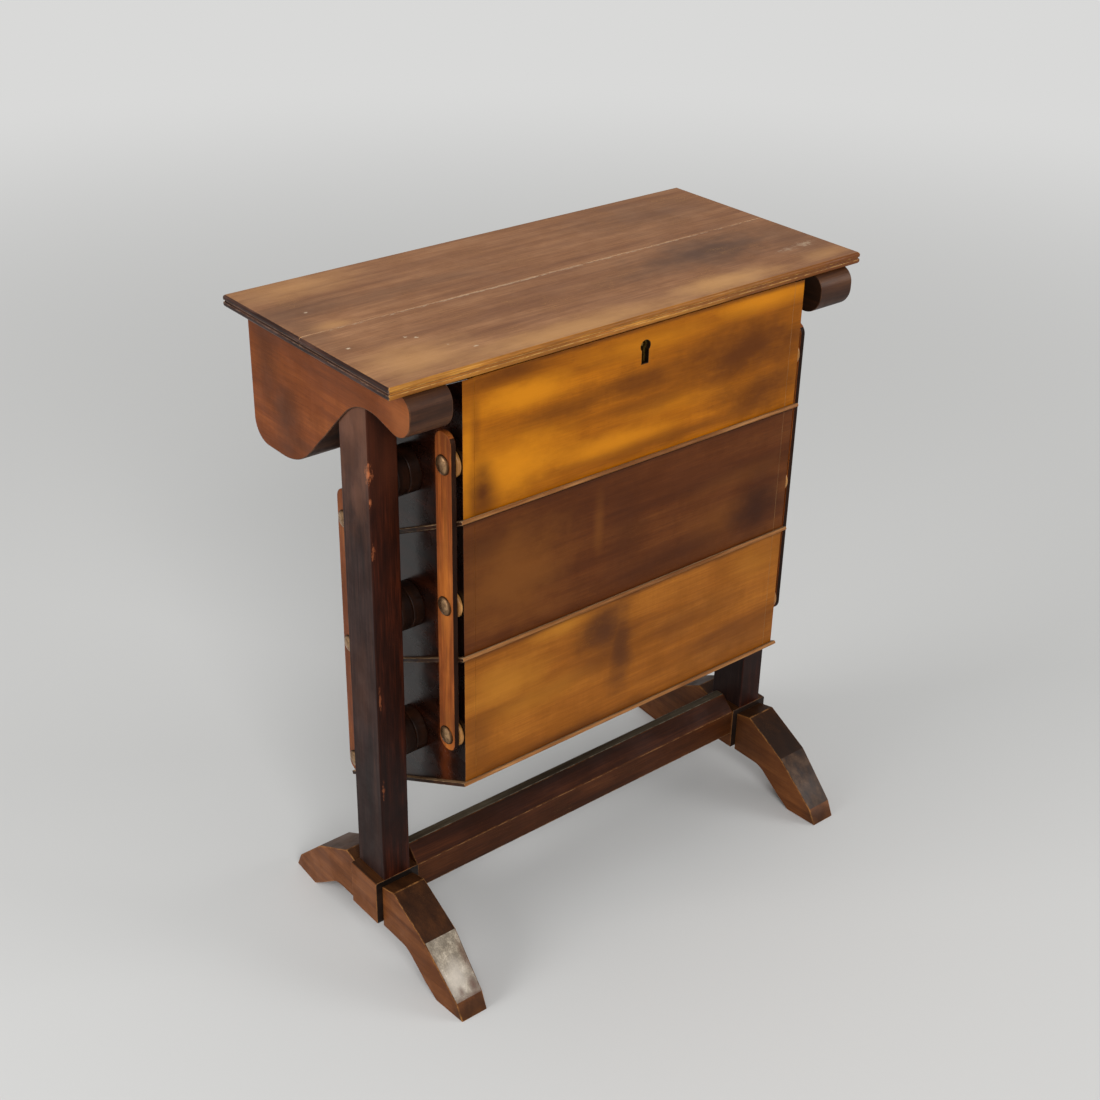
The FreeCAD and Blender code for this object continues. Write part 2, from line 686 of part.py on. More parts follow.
def make_link(place, ahead, up, name, side):
    """One slat link with a hole for each tray's pin."""
    body = new_body(f"link_{place}_{name}", "upper_pivot")
    start, thick = span(side, "link_inner", "link_outer")
    outline = new_sketch(body, "YZ_Plane", start)
    rectangle(outline, f"{ahead} - link_wide / 2", f"{ahead} + link_wide / 2",
              f"{up} - 2 * pitch - link_under", f"{up} + link_over")
    grow(body, outline, thick)
    soften(body, lambda edge: straight(edge, 0), "link_wide / 2 - link_edge")
    soften(body, lambda edge: straight(edge, 2), "link_edge")
    holes = new_sketch(body, "YZ_Plane", start)
    for level in LEVELS.values():
        circle(holes, ahead, f"{up} - {level} * pitch", "pin_radius + running")
    cut(body, holes, thick)


# ------------------------------------------------------------------ lock
def keyhole_outline(sketch, radius, half_slot, long):
    """A keyhole: a round with a slot below it, drawn as one closed outline."""
    round_x, round_z = "0", "keyhole_z"
    meet = f"sqrt({radius} * {radius} - {half_slot} * {half_slot})"
    low = f"{round_z} - {long}"
    left = FreeCAD.Vector(number(f"-({half_slot})"), number(f"{round_z} - {meet}"), 0)
    right = FreeCAD.Vector(number(half_slot), left.y, 0)
    crown = FreeCAD.Vector(number(round_x), number(f"{round_z} + {radius}"), 0)
    low_left = FreeCAD.Vector(left.x, number(low), 0)
    low_right = FreeCAD.Vector(right.x, low_left.y, 0)
    arc = sketch.addGeometry(Part.Arc(right, crown, left))
    slot = [sketch.addGeometry(Part.LineSegment(one, other))
            for one, other in ((left, low_left), (low_left, low_right), (low_right, right))]
    loop = [arc, *slot]
    for index, line in enumerate(loop):
        sketch.addConstraint(Sketcher.Constraint("Coincident", line, 2, loop[(index + 1) % len(loop)], 1))
    hold(sketch, "DistanceX", arc, 3, formula=round_x)
    hold(sketch, "DistanceY", arc, 3, formula=round_z)
    hold(sketch, "Radius", arc, formula=radius)
    for corner, across in ((slot[1], f"-({half_slot})"), (slot[2], half_slot)):
        hold(sketch, "DistanceX", corner, 1, formula=across)
        hold(sketch, "DistanceY", corner, 1, formula=low)
    sketch.addConstraint(Sketcher.Constraint("Vertical", slot[0]))
    sketch.addConstraint(Sketcher.Constraint("Vertical", slot[2]))


def lock_screw_circles(sketch, radius):
    """The circles of the four lock screws, in the corners of the lock."""
    for side in SIDES.values():
        for high in ("lock_low + lock_screw_high", "front_high - lock_screw_high"):
            circle(sketch, f"{side} * lock_screw_spread", high, radius)


def make_lock():
    """The box lock, its sliding bolt and its four screws."""
    case = new_body("lock_case", "upper_pivot")
    outline = new_sketch(case, "XZ_Plane", "-lock_back")
    rectangle(outline, "-lock_wide / 2", "lock_wide / 2", "lock_low", "front_high")
    grow(case, outline, "lock_deep")
    channel = new_sketch(case, "XY_Plane", "bolt_low - play")
    bolt_room(channel)
    cut(case, channel, "bolt_high + bolt_low_gap + 2 * play")
    ward = new_sketch(case, "XZ_Plane", "-bolt_back")
    keyhole_outline(ward, "ward_radius", "ward_slot / 2", "keyhole_long")
    circle(ward, "0", "keyhole_z", "ward_pin_radius")
    cut(case, ward, "bolt_back - lock_front")
    screw_holes = new_sketch(case, "XZ_Plane", "-lock_back")
    lock_screw_circles(screw_holes, "lock_screw_radius")
    cut(case, screw_holes, "lock_deep")

    bolt = new_body("lock_bolt", "upper_pivot")
    outline = new_sketch(bolt, "XY_Plane", "bolt_low")
    rectangle(outline, "-bolt_wide / 2", "bolt_wide / 2", "bolt_front", "bolt_back")
    grow(bolt, outline, "bolt_high")

    screws = new_body("lock_screws", "upper_pivot")
    shanks = new_sketch(screws, "XZ_Plane", "-lock_back")
    lock_screw_circles(shanks, "lock_screw_radius")
    grow(screws, shanks, "lock_deep + lock_screw_bite")
    heads = new_sketch(screws, "XZ_Plane", "-lock_back - lock_screw_head_high")
    lock_screw_circles(heads, "lock_screw_head")
    grow(screws, heads, "lock_screw_head_high")


# ------------------------------------------------------------------ assembly
make_top()
make_strike()
make_stretcher()
for name, side in SIDES.items():
    make_bracket(name, side)
    make_post(name, side)
    make_foot_block(name, side)
    make_foot(name, side, "front", -1)
    make_foot(name, side, "back", 1)
    make_foot_dowels(name, side)
    make_post_pivots(name, side)
    for place, (ahead, up) in LINKS.items():
        make_link(place, ahead, up, name, side)
for level in LEVELS:
    tray_ends(level)
    tray_front(level)
    tray_back_panel(level)
    tray_floor(level)
    tray_discs(level)
    link_pieces(level)
make_lock()
doc.recompute()

for item in doc.Objects:
    if {"Invalid", "Error"} & set(item.State):
        raise RuntimeError(f"{item.Label}: {item.State}")
pieces = [item for item in doc.Objects if item.TypeId == "PartDesign::Body"]
os.makedirs("parts", exist_ok=True)
for piece in pieces:
    if piece.Shape.isNull() or not piece.Shape.isValid() or not piece.Shape.Solids:
        raise RuntimeError(f"{piece.Label}: bad shape")
    piece.Shape.exportStep(f"parts/{piece.Label}.step")
    print(piece.Label, len(piece.Shape.Solids), round(piece.Shape.Volume, 1))
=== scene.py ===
# %% [markdown]
# # A spool cabinet with three tipping trays
#
# The real object is a small wooden counter piece for reels of thread. Three shallow trays hang between
# two posts, one over the other, and four slat links tie them together, so all three tip forwards at once.
# This lesson dresses the measured solids: their shapes and places are kept, and each wooden piece is
# given slightly worn edges, a grain that runs the way the board was cut, and the smoke and rubbing of a
# long life. Sizes are in metres in the scene. Most numbers below are written in millimetres.

# %% Open the measured frame
import json
import math
import bmesh
import bpy
from mathutils import Matrix, Vector


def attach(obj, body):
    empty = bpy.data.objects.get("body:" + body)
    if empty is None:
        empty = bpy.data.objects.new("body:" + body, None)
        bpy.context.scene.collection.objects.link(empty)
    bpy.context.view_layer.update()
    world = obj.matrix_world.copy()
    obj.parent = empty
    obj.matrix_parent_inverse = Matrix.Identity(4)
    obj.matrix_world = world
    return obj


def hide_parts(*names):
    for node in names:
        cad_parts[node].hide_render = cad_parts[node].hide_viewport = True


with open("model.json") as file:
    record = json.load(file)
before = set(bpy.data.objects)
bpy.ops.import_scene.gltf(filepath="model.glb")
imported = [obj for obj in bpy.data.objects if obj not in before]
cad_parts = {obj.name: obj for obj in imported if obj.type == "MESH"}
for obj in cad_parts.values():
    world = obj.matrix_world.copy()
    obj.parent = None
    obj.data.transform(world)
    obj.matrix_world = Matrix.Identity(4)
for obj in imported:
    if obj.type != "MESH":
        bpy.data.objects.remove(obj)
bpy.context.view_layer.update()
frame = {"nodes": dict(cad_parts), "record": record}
MM = 0.001
nodes, bodies = frame["nodes"], frame["record"]["behaviour"]["bodies"]
body_of = {name: body for body, names in bodies.items() for name in names}
print("nodes:", len(nodes), "bodies:", len(bodies))

# %% [markdown]
# ## The camera
#
# A product picture of furniture is taken from a little above, with a long lens, so that upright posts
# stay almost parallel. The camera could be aimed with a Track To constraint. Here its place and its three
# angles are written out, because a picture taken by hand is also tilted a little sideways, and a
# constraint has no room for that.

# %% Place the camera
CAMERA_PLACE = Vector((-0.7735, -0.9105, 0.9539))
turn, dip, tilt = math.radians(-39.57), math.radians(29.07), math.radians(1.12)
forward = Vector((-math.cos(dip) * math.sin(turn), math.cos(dip) * math.cos(turn), -math.sin(dip)))
level_right = forward.cross(Vector((0, 0, 1))).normalized()
level_up = level_right.cross(forward)
right = math.cos(tilt) * level_right + math.sin(tilt) * level_up
up = math.cos(tilt) * level_up - math.sin(tilt) * level_right
SENSOR_MM, LENS_MM = 36, 54.84
camera = bpy.data.objects.new("camera", bpy.data.cameras.new("camera"))
camera.data.sensor_width = SENSOR_MM
camera.data.lens = LENS_MM
camera.matrix_world = Matrix.Translation(CAMERA_PLACE) @ Matrix((right, up, -forward)).transposed().to_4x4()
bpy.context.scene.collection.objects.link(camera)
bpy.context.scene.camera = camera
print("camera looks", [round(value, 3) for value in forward])

# %% [markdown]
# ## Helpers for materials
#
# A shader is a chain of small nodes. One short function adds a node, sets its properties and joins its
# inputs, so each recipe below reads from top to bottom. Colours are written as the hex values that a
# screen shows, and one function turns them into the linear values that the renderer needs.

# %% Colour and node helpers
def linear(hex_colour):
    """An sRGB hex colour as linear red, green, blue and alpha."""
    parts = [int(hex_colour[i:i + 2], 16) / 255 for i in (1, 3, 5)]
    return [p / 12.92 if p <= 0.04045 else ((p + 0.055) / 1.055) ** 2.4 for p in parts] + [1.0]


def put(tree, kind, inputs=None, **settings):
    """Adds one node. inputs maps an input's name or number to a value or to another node's output."""
    made = tree.nodes.new(kind)
    for name, value in settings.items():
        setattr(made, name, value)
    for name, value in (inputs or {}).items():
        if isinstance(value, bpy.types.NodeSocket):
            tree.links.new(value, made.inputs[name])
        else:
            made.inputs[name].default_value = value
    return made


def new_finish(title):
    """An empty material with its shader, and the piece's own coordinates in millimetres."""
    finish = bpy.data.materials.new(title)
    finish.use_nodes = True
    tree = finish.node_tree
    shader = tree.nodes["Principled BSDF"]
    own = put(tree, "ShaderNodeTexCoord").outputs["Object"]
    place = put(tree, "ShaderNodeVectorMath", {0: own, "Scale": 1 / MM}, operation="SCALE").outputs[0]
    return finish, tree, shader, place


print("white is", linear("#ffffff"))

# %% [markdown]
# ## The recipe for old varnished wood
#
# Wood is bundles of fibres, so every pattern in it is long in one direction and narrow in the other two.
# The recipe stretches plain noise along the grain at four sizes: broad figure, about 10 mm across;
# fibres, about 1 mm; pores, short dark dashes; and the uneven, smoky film of old varnish, which doesn't
# follow the grain much. Three more things come on top: marks that sit at known places, rubbed arrises,
# where the film has gone and raw wood shows pale, and fine scratches. The marks are partly smoke and
# handling, and partly painted shade, painted shadow and painted highlights. Fibres are drawn a little
# coarser than real ones (0.3 mm), which a picture of the whole cabinet can't show.

# %% Patches that sit at known places
PATCH_REACH = 1.35  # a patch fades to nothing at this many half sizes from its middle


def patch_mask(tree, place, waver, patches):
    """The strongest of several soft ellipsoids. Each patch is (centre mm, half sizes mm, strength)."""
    mask = None
    for centre, sizes, strength in patches:
        offset = put(tree, "ShaderNodeVectorMath", {0: place, 1: centre}, operation="SUBTRACT").outputs[0]
        scaled = put(tree, "ShaderNodeVectorMath", {0: offset, 1: sizes}, operation="DIVIDE").outputs[0]
        far = put(tree, "ShaderNodeVectorMath", {0: scaled}, operation="LENGTH").outputs["Value"]
        frayed = put(tree, "ShaderNodeMath", {0: far, 1: waver}, operation="ADD").outputs[0]
        soft = put(tree, "ShaderNodeMapRange", {"Value": frayed, 1: PATCH_REACH, 2: 0.0, 3: 0.0, 4: strength},
                   interpolation_type="SMOOTHSTEP").outputs[0]
        if mask is not None:
            soft = put(tree, "ShaderNodeMath", {0: mask, 1: soft}, operation="MAXIMUM").outputs[0]
        mask = soft
    return mask


# %% Marks for the boards of this cabinet
TOP_Z = 520  # the top's upper face; these four are in millimetres
FRONT_Y = -79  # a fifth of a millimetre ahead of the tray fronts
THROUGH = 30  # half depth of a mark that goes right through a front
ALL = 400  # half size of a mark that runs right across every piece


def on_top(deep, *marks):
    """Marks on the top: x, y, half length, half width and strength. They fade out at a depth."""
    return [((x, y, TOP_Z), (long, wide, deep), strength) for x, y, long, wide, strength in marks]


def on_front(*marks):
    """Marks on a tray front: x, z, half length, half height and strength."""
    return [((x, FRONT_Y, z), (long, THROUGH, high), strength) for x, z, long, high, strength in marks]


def on_both_sides(out, *marks):
    """Marks that lie alike on the left and on the right: y, z, half sizes and strength."""
    return [((side * out, y, z), sizes, strength) for side in (-1, 1) for y, z, sizes, strength in marks]


# %% A pattern that follows the grain
def grain_pattern(tree, shift, axis, along_mm, across_mm, detail, rough_share):
    """Plain noise, stretched along one axis, with both sizes in millimetres."""
    sizes = [across_mm] * 3
    sizes[axis] = along_mm
    squeezed = put(tree, "ShaderNodeVectorMath", {0: shift, 1: sizes}, operation="DIVIDE").outputs[0]
    return put(tree, "ShaderNodeTexNoise", {"Vector": squeezed, "Scale": 1.0, "Detail": detail,
                                            "Roughness": rough_share}).outputs[0]


# %% [markdown]
# ## The wood recipe, layer by layer
#
# A polisher builds a surface in layers, and so does this recipe. Each pattern is noise with a size along
# the grain and one across it. Each mask turns a pattern into a share between two limits, with soft ends.
# Each layer is then a mask and a tone, laid over the layers before it.

# %% The wood recipe
SEED_STEPS = (137.0, 71.0, 53.0)  # how far one step of seed shifts the pattern on each axis, mm
PORE_DIRT = (0.01, 0.006, 0.004, 1)  # a linear colour


def old_wood(title, grain, tones, worn="#c08a4e", smoke_shade_and_highlight=(), smoke_shade_and_highlight_tone="#2c1c14", bright=(),
             bright_tone="#c98a34", pale=(), pale_tone="#cdb79c", figure_mm=11.0, mottle=0.35, rub=0.6,
             scratches=0.2, rough=0.4, varnish=0.0, gloss=0.2, fibre=0.3, curl=0.0, pore=0.4, seed=0.0):
    """Varnished wood. grain is the axis of the fibres; tones are its dark, middle and light hex colours."""
    finish, tree, shader, place = new_finish(title)
    shift = put(tree, "ShaderNodeVectorMath", {0: place, 1: [seed * step for step in SEED_STEPS]}).outputs[0]
    # Size along the grain and across it in millimetres, detail, and how rough the detail is.
    sizes = {"figure": (figure_mm * 14, figure_mm, 4.0, 0.55), "film": (38.0, 38.0, 4.0, 0.6),
             "fibres": (26.0, 0.9, 2.0, 0.5), "pores": (7.0, 0.45, 1.0, 0.5), "waver": (34.0, 18.0, 5.0, 0.6),
             "hairlines": (90.0, 3.0, 5.0, 0.75), "rubbing": (9.0, 9.0, 5.0, 0.7)}
    if curl:
        sizes["curl"] = (3.0, 22.0, 3.0, 0.65)
    if pale:
        sizes["chips"] = (6.0, 2.4, 3.0, 0.7)
    pattern = {name: grain_pattern(tree, shift, "xyz".index(grain), *each) for name, each in sizes.items()}
    off_middle = put(tree, "ShaderNodeMath", {0: pattern["hairlines"], 1: 0.5},
                     operation="SUBTRACT").outputs[0]
    line = put(tree, "ShaderNodeMath", {0: off_middle}, operation="ABSOLUTE").outputs[0]
    # A pattern, the two values between which the mask changes, and the mask at each of them.
    limits = {"film": (pattern["film"], 0.40, 0.62, 0.0, mottle),
              "fibres": (pattern["fibres"], 0.35, 0.70, fibre, 0.0),
              "pores": (pattern["pores"], 0.66, 0.76, 0.0, pore),
              "waver": (pattern["waver"], 0.3, 0.7, -0.2, 0.2),
              "line": (line, 0.006, 0.0, 0.0, 1.0),
              "scored": (pattern["film"], 0.52, 0.66, 0.0, scratches),
              "rubbed": (pattern["rubbing"], 0.42, 0.62, 0.12 * rub, rub),
              "dull": (pattern["film"], 0.35, 0.65, rough - 0.07, rough + 0.10)}
    if curl:
        limits["curl"] = (pattern["curl"], 0.36, 0.64, curl, 0.0)
    if pale:
        limits["chips"] = (pattern["chips"], 0.3, 0.7, -0.75, 0.75)
    mask = {name: put(tree, "ShaderNodeMapRange", {"Value": value, 1: low, 2: high, 3: at_low, 4: at_high},
                      interpolation_type="SMOOTHSTEP").outputs[0]
            for name, (value, low, high, at_low, at_high) in limits.items()}
    arris = put(tree, "ShaderNodeAttribute", attribute_name="arris").outputs["Fac"]
    scratched, rubbed = (put(tree, "ShaderNodeMath", {0: first, 1: second}, operation="MULTIPLY").outputs[0]
                         for first, second in ((mask["line"], mask["scored"]), (arris, mask["rubbed"])))

    dark, middle, light = (linear(tone) for tone in tones)
    body = put(tree, "ShaderNodeValToRGB", {0: pattern["figure"]})
    ramp = body.color_ramp
    ramp.elements[0].position, ramp.elements[0].color = 0.30, dark
    ramp.elements[1].position, ramp.elements[1].color = 0.70, light
    ramp.elements.new(0.50).color = middle
    between_fibres = [part / 2 for part in dark[:3]] + [1.0]
    layers = [(mask["film"], dark), (mask["fibres"], between_fibres), (mask["pores"], PORE_DIRT)]
    if curl:
        layers.append((mask["curl"], dark))
    # The lighter and darker marks hold smoke and handling, and also painted light, painted shade and painted
    # highlights.
    for patches, edge, tone in ((bright, "waver", bright_tone), (smoke_shade_and_highlight, "waver", smoke_shade_and_highlight_tone),
                                (pale, "chips", pale_tone)):
        if patches:
            layers.append((patch_mask(tree, place, mask[edge], patches), linear(tone)))
    layers += [(scratched, linear(worn)), (rubbed, linear(worn))]
    colour = body.outputs[0]
    for share, tone in layers:
        colour = put(tree, "ShaderNodeMix", {0: share, 6: colour, 7: tone}, data_type="RGBA").outputs[2]

    relief = put(tree, "ShaderNodeMix", {0: 0.35, 6: pattern["fibres"], 7: pattern["film"]},
                 data_type="RGBA").outputs[2]
    bump = put(tree, "ShaderNodeBump", {"Height": relief, "Distance": 0.0002, "Strength": 0.35})
    tree.links.new(colour, shader.inputs["Base Color"])
    tree.links.new(mask["dull"], shader.inputs["Roughness"])
    tree.links.new(bump.outputs[0], shader.inputs["Normal"])
    shader.inputs["IOR"].default_value = 1.5
    shader.inputs["Specular IOR Level"].default_value = gloss
    shader.inputs["Coat Weight"].default_value = varnish
    shader.inputs["Coat Roughness"].default_value = 0.28
    return finish


# %% [markdown]
# ## Worn edges as real shape
#
# Nobody meets a sharp arris on an old cabinet: hands and cloths round it, and the film goes first there.
# The edges could be faked with a shader that looks for corners. Here a copy of each measured solid is
# cleaned and every outside edge is rounded by a fraction of a millimetre. The new narrow faces carry a
# number called "arris", which the wood recipe reads, so wear follows the real edges in every view and in
# the exported mesh too.

# %% Round the edges of a copy
SHARP_EDGE = math.radians(32)  # edges that turn by more than this are rounded
FLAT_ENOUGH = math.radians(0.4)  # faces that differ by less are one flat face
SHADING_EDGE = math.radians(38)  # shading stays crisp over edges sharper than this
WELD = 0.02 * MM  # points closer than this are one point


def eased_copy(node_name, piece_name, finish, ease_mm=0.6):
    """A copy of a measured solid with rounded outside edges, which stands for the solid on its body."""
    work = bmesh.new()
    work.from_mesh(nodes[node_name].data)
    bmesh.ops.remove_doubles(work, verts=work.verts, dist=WELD)
    bmesh.ops.dissolve_limit(work, angle_limit=FLAT_ENOUGH, verts=work.verts, edges=work.edges)
    arris = work.faces.layers.float.new("arris")
    edges = [edge for edge in work.edges if edge.is_manifold and edge.is_convex
             and edge.calc_face_angle() > SHARP_EDGE]
    made = bmesh.ops.bevel(work, geom=edges, offset=ease_mm * MM, offset_type="OFFSET", segments=2,
                           profile=0.5, affect="EDGES", clamp_overlap=False, miter_outer="SHARP")
    for face in made["faces"]:
        face[arris] = 1.0
    for face in work.faces:
        face.smooth = True
    mesh = bpy.data.meshes.new(piece_name)
    work.to_mesh(mesh)
    work.free()
    mesh.set_sharp_from_angle(angle=SHADING_EDGE)
    return place_piece(mesh, piece_name, finish, [node_name])


def place_piece(mesh, piece_name, finish, node_names):
    """Adds a mesh that stands for measured nodes of one body, with normals that keep flat faces flat."""
    mesh.materials.clear()
    mesh.materials.append(finish)
    draft = bpy.data.objects.new(piece_name, mesh)
    bpy.context.scene.collection.objects.link(draft)
    draft.modifiers.new("flat faces lead", "WEIGHTED_NORMAL").keep_sharp = True
    final = bpy.data.meshes.new_from_object(draft.evaluated_get(bpy.context.evaluated_depsgraph_get()))
    draft.modifiers.clear()
    draft.data = final
    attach(draft, body_of[node_names[0]])
    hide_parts(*node_names)
    print(f"{piece_name}: {len(final.polygons)} faces")
    return draft


# %% Give the faces that look one way a second finish
LEFTWARDS, RIGHTWARDS = (-1, 0, 0), (1, 0, 0)
FORWARDS, BACKWARDS = (0, -1, 0), (0, 1, 0)
DOWNWARDS, UPWARDS = (0, 0, -1), (0, 0, 1)
FAR = 9000  # farther than any piece reaches, in millimetres


def finish_facing(piece, finish, direction, least=0.7, low=(-FAR,) * 3, high=(FAR,) * 3):
    """Faces that look nearly one way, with their middle in a box in millimetres, take another finish."""
    piece.data.materials.append(finish)
    number, changed = len(piece.data.materials) - 1, 0
    for face in piece.data.polygons:
        inside = all(a * MM <= c <= b * MM for a, c, b in zip(low, face.center, high))
        if inside and face.normal.dot(Vector(direction)) > least:
            face.material_index = number
            changed += 1
    print(f"{piece.name}: {changed} faces in {finish.name}")


# %% [markdown]
# ## The top: two thin boards
#
# The top is two boards of cherry, glued edge to edge, with two small beads run along the ends and the
# front. Light has bleached it to a greyish brown, the glue line has opened and holds pale dust, and
# sleeves have rubbed the front edge down to golden wood. It is darker in a broad place towards the
# right.

# %% Top boards
top_finish = old_wood(
    "varnished cherry, bleached top", "x", ("#7f553b", "#986a48", "#a87853"), worn="#d6a262",
    bright=on_top(20,
        (-60, -72, 130, 18, 0.7), (-178, 116, 60, 24, 0.5), (90, -66, 60, 16, 0.85),
        (-180, -50, 50, 30, 0.6), (200, -66, 30, 12, 0.5), (-196, 34, 22, 8, 0.5)),
    smoke_shade_and_highlight=on_top(40,
        (128, -6, 80, 32, 0.95), (60, -16, 60, 15, 0.5), (200, -16, 34, 50, 0.45), (150, 92, 80, 40, 0.4),
        (-200, 74, 46, 20, 0.6), (-110, 66, 90, 12, 0.35), (-215, 40, 16, 60, 0.4)),
    pale=on_top(9,
        (-209, -8, 1.6, 1.6, 1.0), (-166, -14, 1.3, 1.3, 0.9), (-160, -19, 1.2, 1.2, 0.8),
        (-135, -56, 2.2, 1.2, 0.8), (-150, -42, 1.0, 1.0, 0.8), (-196, 65, 1.3, 1.3, 0.8),
        (203, -40, 8, 4, 0.45), (182, -42, 10, 3, 0.25), (-50, 27.4, 150, 1.3, 0.45),
        (90, 27.6, 110, 1.1, 0.4)),
    bright_tone="#c1905c", smoke_shade_and_highlight_tone="#5c4234", figure_mm=13.0, mottle=0.32, rough=0.55, scratches=0.6,
    seed=1.0)
bead_finish = old_wood(
    "rubbed golden bead", "x", ("#834f16", "#ab6c25", "#c88d38"), worn="#e5b666",
    smoke_shade_and_highlight=[((215, -82, 512), (200, 20, 20), 1.0), ((-205, -82, 512), (16, 20, 20), 0.3)],
    smoke_shade_and_highlight_tone="#65350c", figure_mm=5.0, fibre=0.45, rough=0.45, rub=0.45, seed=1.5)
end_bead_finish = old_wood(
    "dark end bead", "y", ("#20100a", "#351c13", "#5e4034"), worn="#8f776a",
    figure_mm=4.0, fibre=0.5, rub=0.45, seed=1.7)
seam_finish = old_wood(
    "pale dust in the glue line", "x", ("#79543a", "#a67d5b", "#be9873"), worn="#b68e69",
    figure_mm=4.0, mottle=0.1, fibre=0.2, rough=0.6, rub=0.5, seed=1.9)
UNDER_TOP = TOP_Z - 0.1  # so that the upper face keeps its own finish, mm
BEAD_OUT = 200  # the end beads lie farther out than this, mm
SEAM_BOX = (-178, 12, TOP_Z - 1), (188, 45, TOP_Z)
for board in ("top_front_board", "top_rear_board"):
    plank = eased_copy(board, board.replace("board", "plank"), top_finish, ease_mm=0.6)
    finish_facing(plank, bead_finish, FORWARDS, 0.35, high=(FAR, -70, UNDER_TOP))
    finish_facing(plank, end_bead_finish, LEFTWARDS, 0.35, high=(-BEAD_OUT, FAR, UNDER_TOP))
    finish_facing(plank, end_bead_finish, RIGHTWARDS, 0.35, (BEAD_OUT, -FAR, -FAR), (FAR, FAR, UNDER_TOP))
    finish_facing(plank, seam_finish, UPWARDS, 0.2, *SEAM_BOX)

# %% [markdown]
# ## Brackets
#
# The brackets were sawn to a scroll outline. The front of each side is lighter with painted light and its
# rear darker with painted shade. Their sawn edges show end grain, which drinks more stain and turns darker,
# and a painted highlight lies across the middle of each nose. Their inner sides are painted near black as
# shade.

# %% Brackets
BRACKET_OUT = 214  # just outside a bracket's outer side, mm
bracket_finish = old_wood(
    "stained birch bracket", "y", ("#63300f", "#7e3f14", "#904d1c"), worn="#b67236",
    # This lighter mark at the front of each side is painted light.
    bright=on_both_sides(BRACKET_OUT, (-78, 492, (40, 22, 16), 0.6)),
    # These dark marks at the rear and along the lower edge of each side are painted shade.
    smoke_shade_and_highlight=on_both_sides(BRACKET_OUT, (98, 476, (40, 20, 44), 0.6), (76, 440, (40, 22, 34), 0.75),
                        (60, 424, (40, 30, 8), 0.6)),
    bright_tone="#9a5a2e", smoke_shade_and_highlight_tone="#41200c", figure_mm=14.0, mottle=0.45, curl=0.2, rough=0.42,
    gloss=0.12, rub=0.4, seed=2.0)
bracket_edge_finish = old_wood(
    "end grain of the bracket", "x", ("#261308", "#442614", "#603b1f"), worn="#8b5933",
    # This light mark across the middle of the nose's front is a painted highlight.
    smoke_shade_and_highlight=[((0, -92, 496), (ALL, 4, 9), 0.5)],
    smoke_shade_and_highlight_tone="#723b1c", figure_mm=9.0, rough=0.5, rub=0.3, seed=2.5)
# These faces are painted near black as shade.
inner_side_shade_finish = old_wood(
    "painted shade on the inner side of a bracket", "y", ("#1b0f08", "#2c180c", "#452614"), worn="#5e3a20",
    rough=0.5, gloss=0.1, rub=0.3, seed=2.8)
INWARDS = {"left": RIGHTWARDS, "right": LEFTWARDS}
for side, inward in INWARDS.items():
    scroll = eased_copy(f"bracket_{side}", f"scroll_bracket_{side}", bracket_finish,
                        ease_mm=0.7)
    finish_facing(scroll, bracket_edge_finish, FORWARDS, 0.05)
    finish_facing(scroll, bracket_edge_finish, DOWNWARDS, 0.2)
    finish_facing(scroll, inner_side_shade_finish, inward, 0.9)

# %% [markdown]
# ## Posts
#
# Each post is a plain square-edged stick. Its front and back keep the dark red of the stain. Its sides
# are greyer, partly from dust and bleaching and partly a painted sheen, most near the top. A post could
# have one finish, but the faces differ so much, by age and by that painted sheen, that the front and back
# get their own. Chips along the front arris of the left post show lighter wood.

# %% Posts
post_front_finish = old_wood(
    "red stained front of a post", "z", ("#1c0904", "#311207", "#4f2110"), worn="#914926",
    bright=[((0, -30, 450), (ALL, 20, 60), 0.7)],
    smoke_shade_and_highlight=[((0, -30, 130), (ALL, 20, 70), 0.9)],
    pale=[
        ((-210.8, -30.2, 434), (3.4, 3.4, 7), 1.0), ((-210.5, -30.2, 411), (1.6, 2, 2.5), 0.8),
        ((-209, -30.2, 371), (1.2, 2, 5), 0.7), ((-208, -30.2, 243), (1.0, 2, 9), 0.5),
        ((-208, -30.2, 160), (1.2, 2, 7), 0.5)],
    bright_tone="#4c2413", smoke_shade_and_highlight_tone="#160b09", pale_tone="#a45d38", figure_mm=6.0, fibre=0.55, rough=0.45,
    gloss=0.12, rub=0.7, seed=3.0)
# The grey of the sides is partly dust and partly a painted sheen.
post_side_finish = old_wood(
    "greyed side of a post with painted sheen", "z", ("#221613", "#35221e", "#472e25"), worn="#70432b",
    bright=[((0, -12, 470), (ALL, 60, 90), 0.75), ((0, -12, 250), (ALL, 16, 40), 0.2)],
    smoke_shade_and_highlight=[((0, -12, 120), (ALL, 40, 80), 0.7)],
    pale=[((-210.8, -30.2, 434), (3.4, 3.4, 7), 1.0)],
    bright_tone="#79503c", smoke_shade_and_highlight_tone="#201817", pale_tone="#9b5f3d", figure_mm=7.0, fibre=0.45, rough=0.5,
    gloss=0.1, seed=3.3)
for side in INWARDS:
    upright = eased_copy(f"post_{side}", f"upright_{side}", post_side_finish, ease_mm=0.8)
    finish_facing(upright, post_front_finish, FORWARDS, 0.4)
    finish_facing(upright, post_front_finish, BACKWARDS, 0.4)

# %% [markdown]
# ## The stretcher
#
# One rail ties the two blocks. Its upper front corner is planed to a slope, where feet rest. The flat on
# top is grey, partly from dust and partly a painted sheen, the slope keeps a dark film, and the arris below
# it is rubbed golden.

